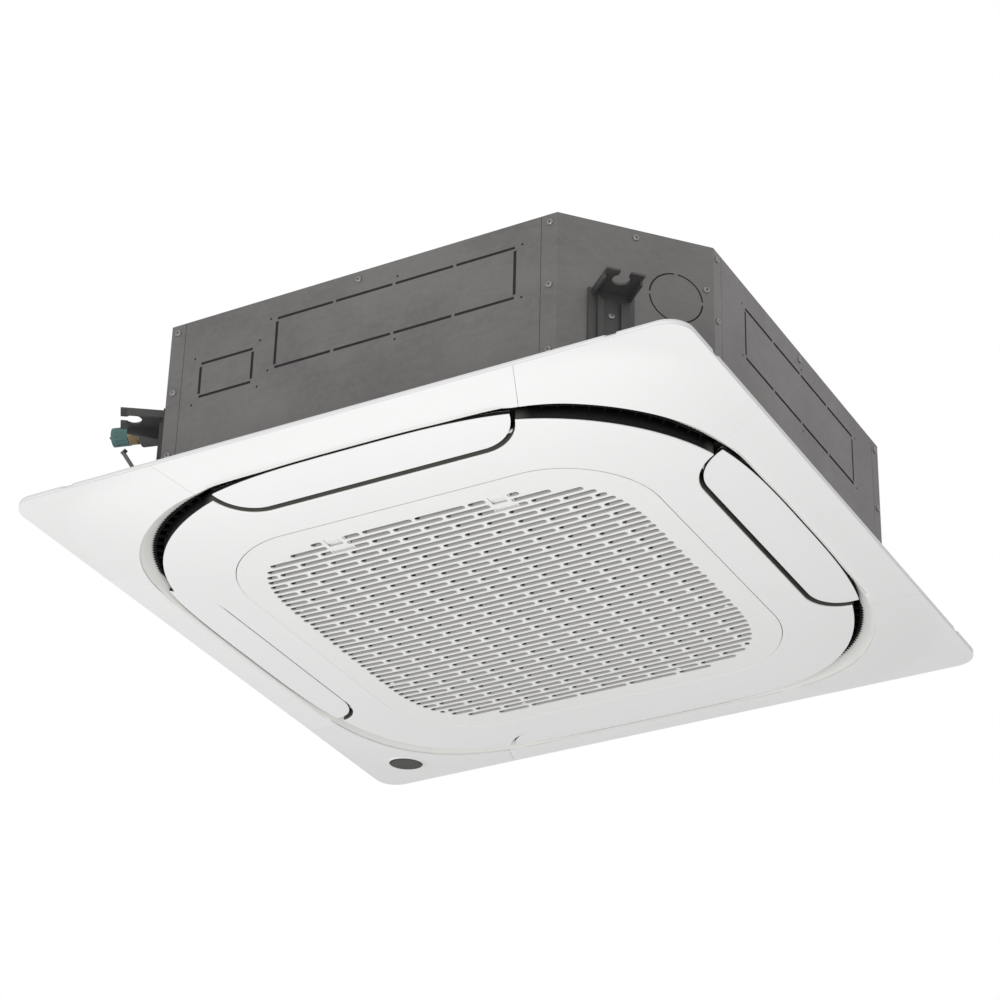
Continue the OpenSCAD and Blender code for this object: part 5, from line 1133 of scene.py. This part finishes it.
# Drain pump and float
# A small pump of white plastic with a black motor on top and an orange impeller inside;
# beside it a float rides on its stem and tells when the pan is full.
pump_white = coat("pump_white", (25, 3), (0.66, 0.66, 0.64), (0.74, 0.74, 0.72), (0.36, 0.14, 70, 2),
                  IOR=1.46)
dress("pump_body", pump_white, 0.5)
dress("float_stem", pump_white)
black_plastic = coat("dark_plastic", (60, 3), (0.022, 0.022, 0.023), (0.036, 0.036, 0.037),
                     grain=(900, 2, 0.2, 0.0002), Roughness=0.5)
dress("pump_motor", black_plastic, 0.8, 3)
orange = coat("orange_plastic", (70, 3), (0.55, 0.14, 0.02), (0.66, 0.19, 0.035), (0.38, 0.14, 110, 2),
              IOR=1.46)
dress("pump_impeller", orange)
dress("pump_float", orange, 0.8, 3)

# Bell mouth
# A flared ring of pale plastic that leads the room air into the fan.
bell = coat("bell_plastic", (9, 3), (0.58, 0.58, 0.565), (0.66, 0.66, 0.645), (0.38, 0.12, 40, 3),
            (800, 2, 0.12, 0.0002), IOR=1.46)
dress("bell_mouth", bell, 0.6, 3, 30)

# Fan
# A backward-curved wheel of pale moulded plastic: dish, seven blades and shroud ring, on
# the motor's shaft with a steel nut.
fan_plastic = Finish("fan_plastic", IOR=1.46)
dust = fan_plastic.steps(fan_plastic.noise(14, 4), 0.45, 0.7)
fan_plastic.set(Base_Color=fan_plastic.blend(dust, (0.62, 0.62, 0.61), (0.52, 0.515, 0.50)),
                Roughness=0.34 + 0.25 * dust)
for node in ("fan_wheel", "fan_shroud"):
    dress(node, fan_plastic, 0.5, 2, 30)
dress("fan_nut", screw_steel, 0.4)

# Fan motor
# A drawn steel can on rubber mounts, with rotor, shaft and two ball bearings inside.
motor_steel = coat("motor_steel", (16, 3), 0.34, (0.46, 0.46, 0.455), (0.32, 0.16, 120, 3, 0.5, (1, 1, 8)),
                   Metallic=0.85)
dress("motor_case", motor_steel, 0.8, 3)
for node in ("motor_shaft", "motor_bearings"):
    dress(node, pin_steel, 0.4)
dress("motor_rotor", black_plastic, 0.6)
dress("motor_mounts", rubber, 0.9, 3)
dress("flap_motors", black_plastic, 0.8, 3)

# Control box
# A zinc-plated tray and lid beside the bell mouth, holding a green board with its parts
# and the terminal block.
for node in ("control_box", "control_lid"):
    dress(node, zinc)
board = Finish("board_green", IOR=1.5)
copper_lines = board.node("ShaderNodeTexBrick", {"offset": 0.35},
                          {"Vector": board.place, "Scale": 160.0, "Mortar Size": 0.06,
                           "Color1": 0.0, "Color2": 0.2, "Mortar": 1.0})
board.set(Base_Color=board.blend(board.red(copper_lines), (0.012, 0.075, 0.028), (0.030, 0.14, 0.055)),
          Roughness=0.30 + 0.15 * board.noise(140, 2))
dress("circuit_board", board)
terminal = coat("terminal_plastic", (90, 3), (0.56, 0.54, 0.46), (0.64, 0.62, 0.54), Roughness=0.45)
dress("terminal_block", terminal, 0.4)

# Air filter
# A grey frame with two bars holds a fine plastic net behind the grille.
filter_grey = coat("filter_plastic", (40, 3), (0.085, 0.088, 0.088), (0.13, 0.132, 0.132),
                   grain=(600, 2, 0.15, 0.0002), Roughness=0.6)
dress("filter_frame", filter_grey, 0.4)
net = coat("filter_net", (120, 2), 0.010, 0.020, Roughness=0.65)
# threads of the net, clipped to the frame's rounded outline
NET_HALF, NET_LOW, NET_Z, NET_R, NET_PITCH, THREAD, OVER = 257.3, -239.0, -31.6, 111.0, 2.2, 0.6, 0.12


def net_reach(at):
    """How far a thread at this distance from the middle runs before the rounded corner."""
    past = max(0, abs(at) - (NET_HALF - NET_R))
    return NET_HALF - NET_R + math.sqrt(max(0, NET_R ** 2 - past ** 2))


thread = Shape().slab(*METRE, arc(0, 0, THREAD / 2, 45, 315, 4))
spots, turns, sizes = [], [], []
for at in np.arange(-NET_HALF + 3, NET_HALF - 2, NET_PITCH):
    reach = net_reach(at)
    low = max(-reach, NET_LOW)
    spots.append((at / 1000, (low + reach) / 2000, (NET_Z + OVER - SEAT_H) / 1000))
    turns.append((0, 0, math.pi / 2))
    sizes.append(((reach - low) / 1000, 1, 1))
    if at > NET_LOW:
        spots.append((0, at / 1000, (NET_Z - OVER - SEAT_H) / 1000))
        turns.append((0, 0, 0))
        sizes.append((2 * reach / 1000, 1, 1))
threads = repeat("filter_net_threads", spots, loose(thread, "net_thread"), net, turns, sizes)
settle("filter_net_threads", threads, net, "grille", ("filter_mesh",))
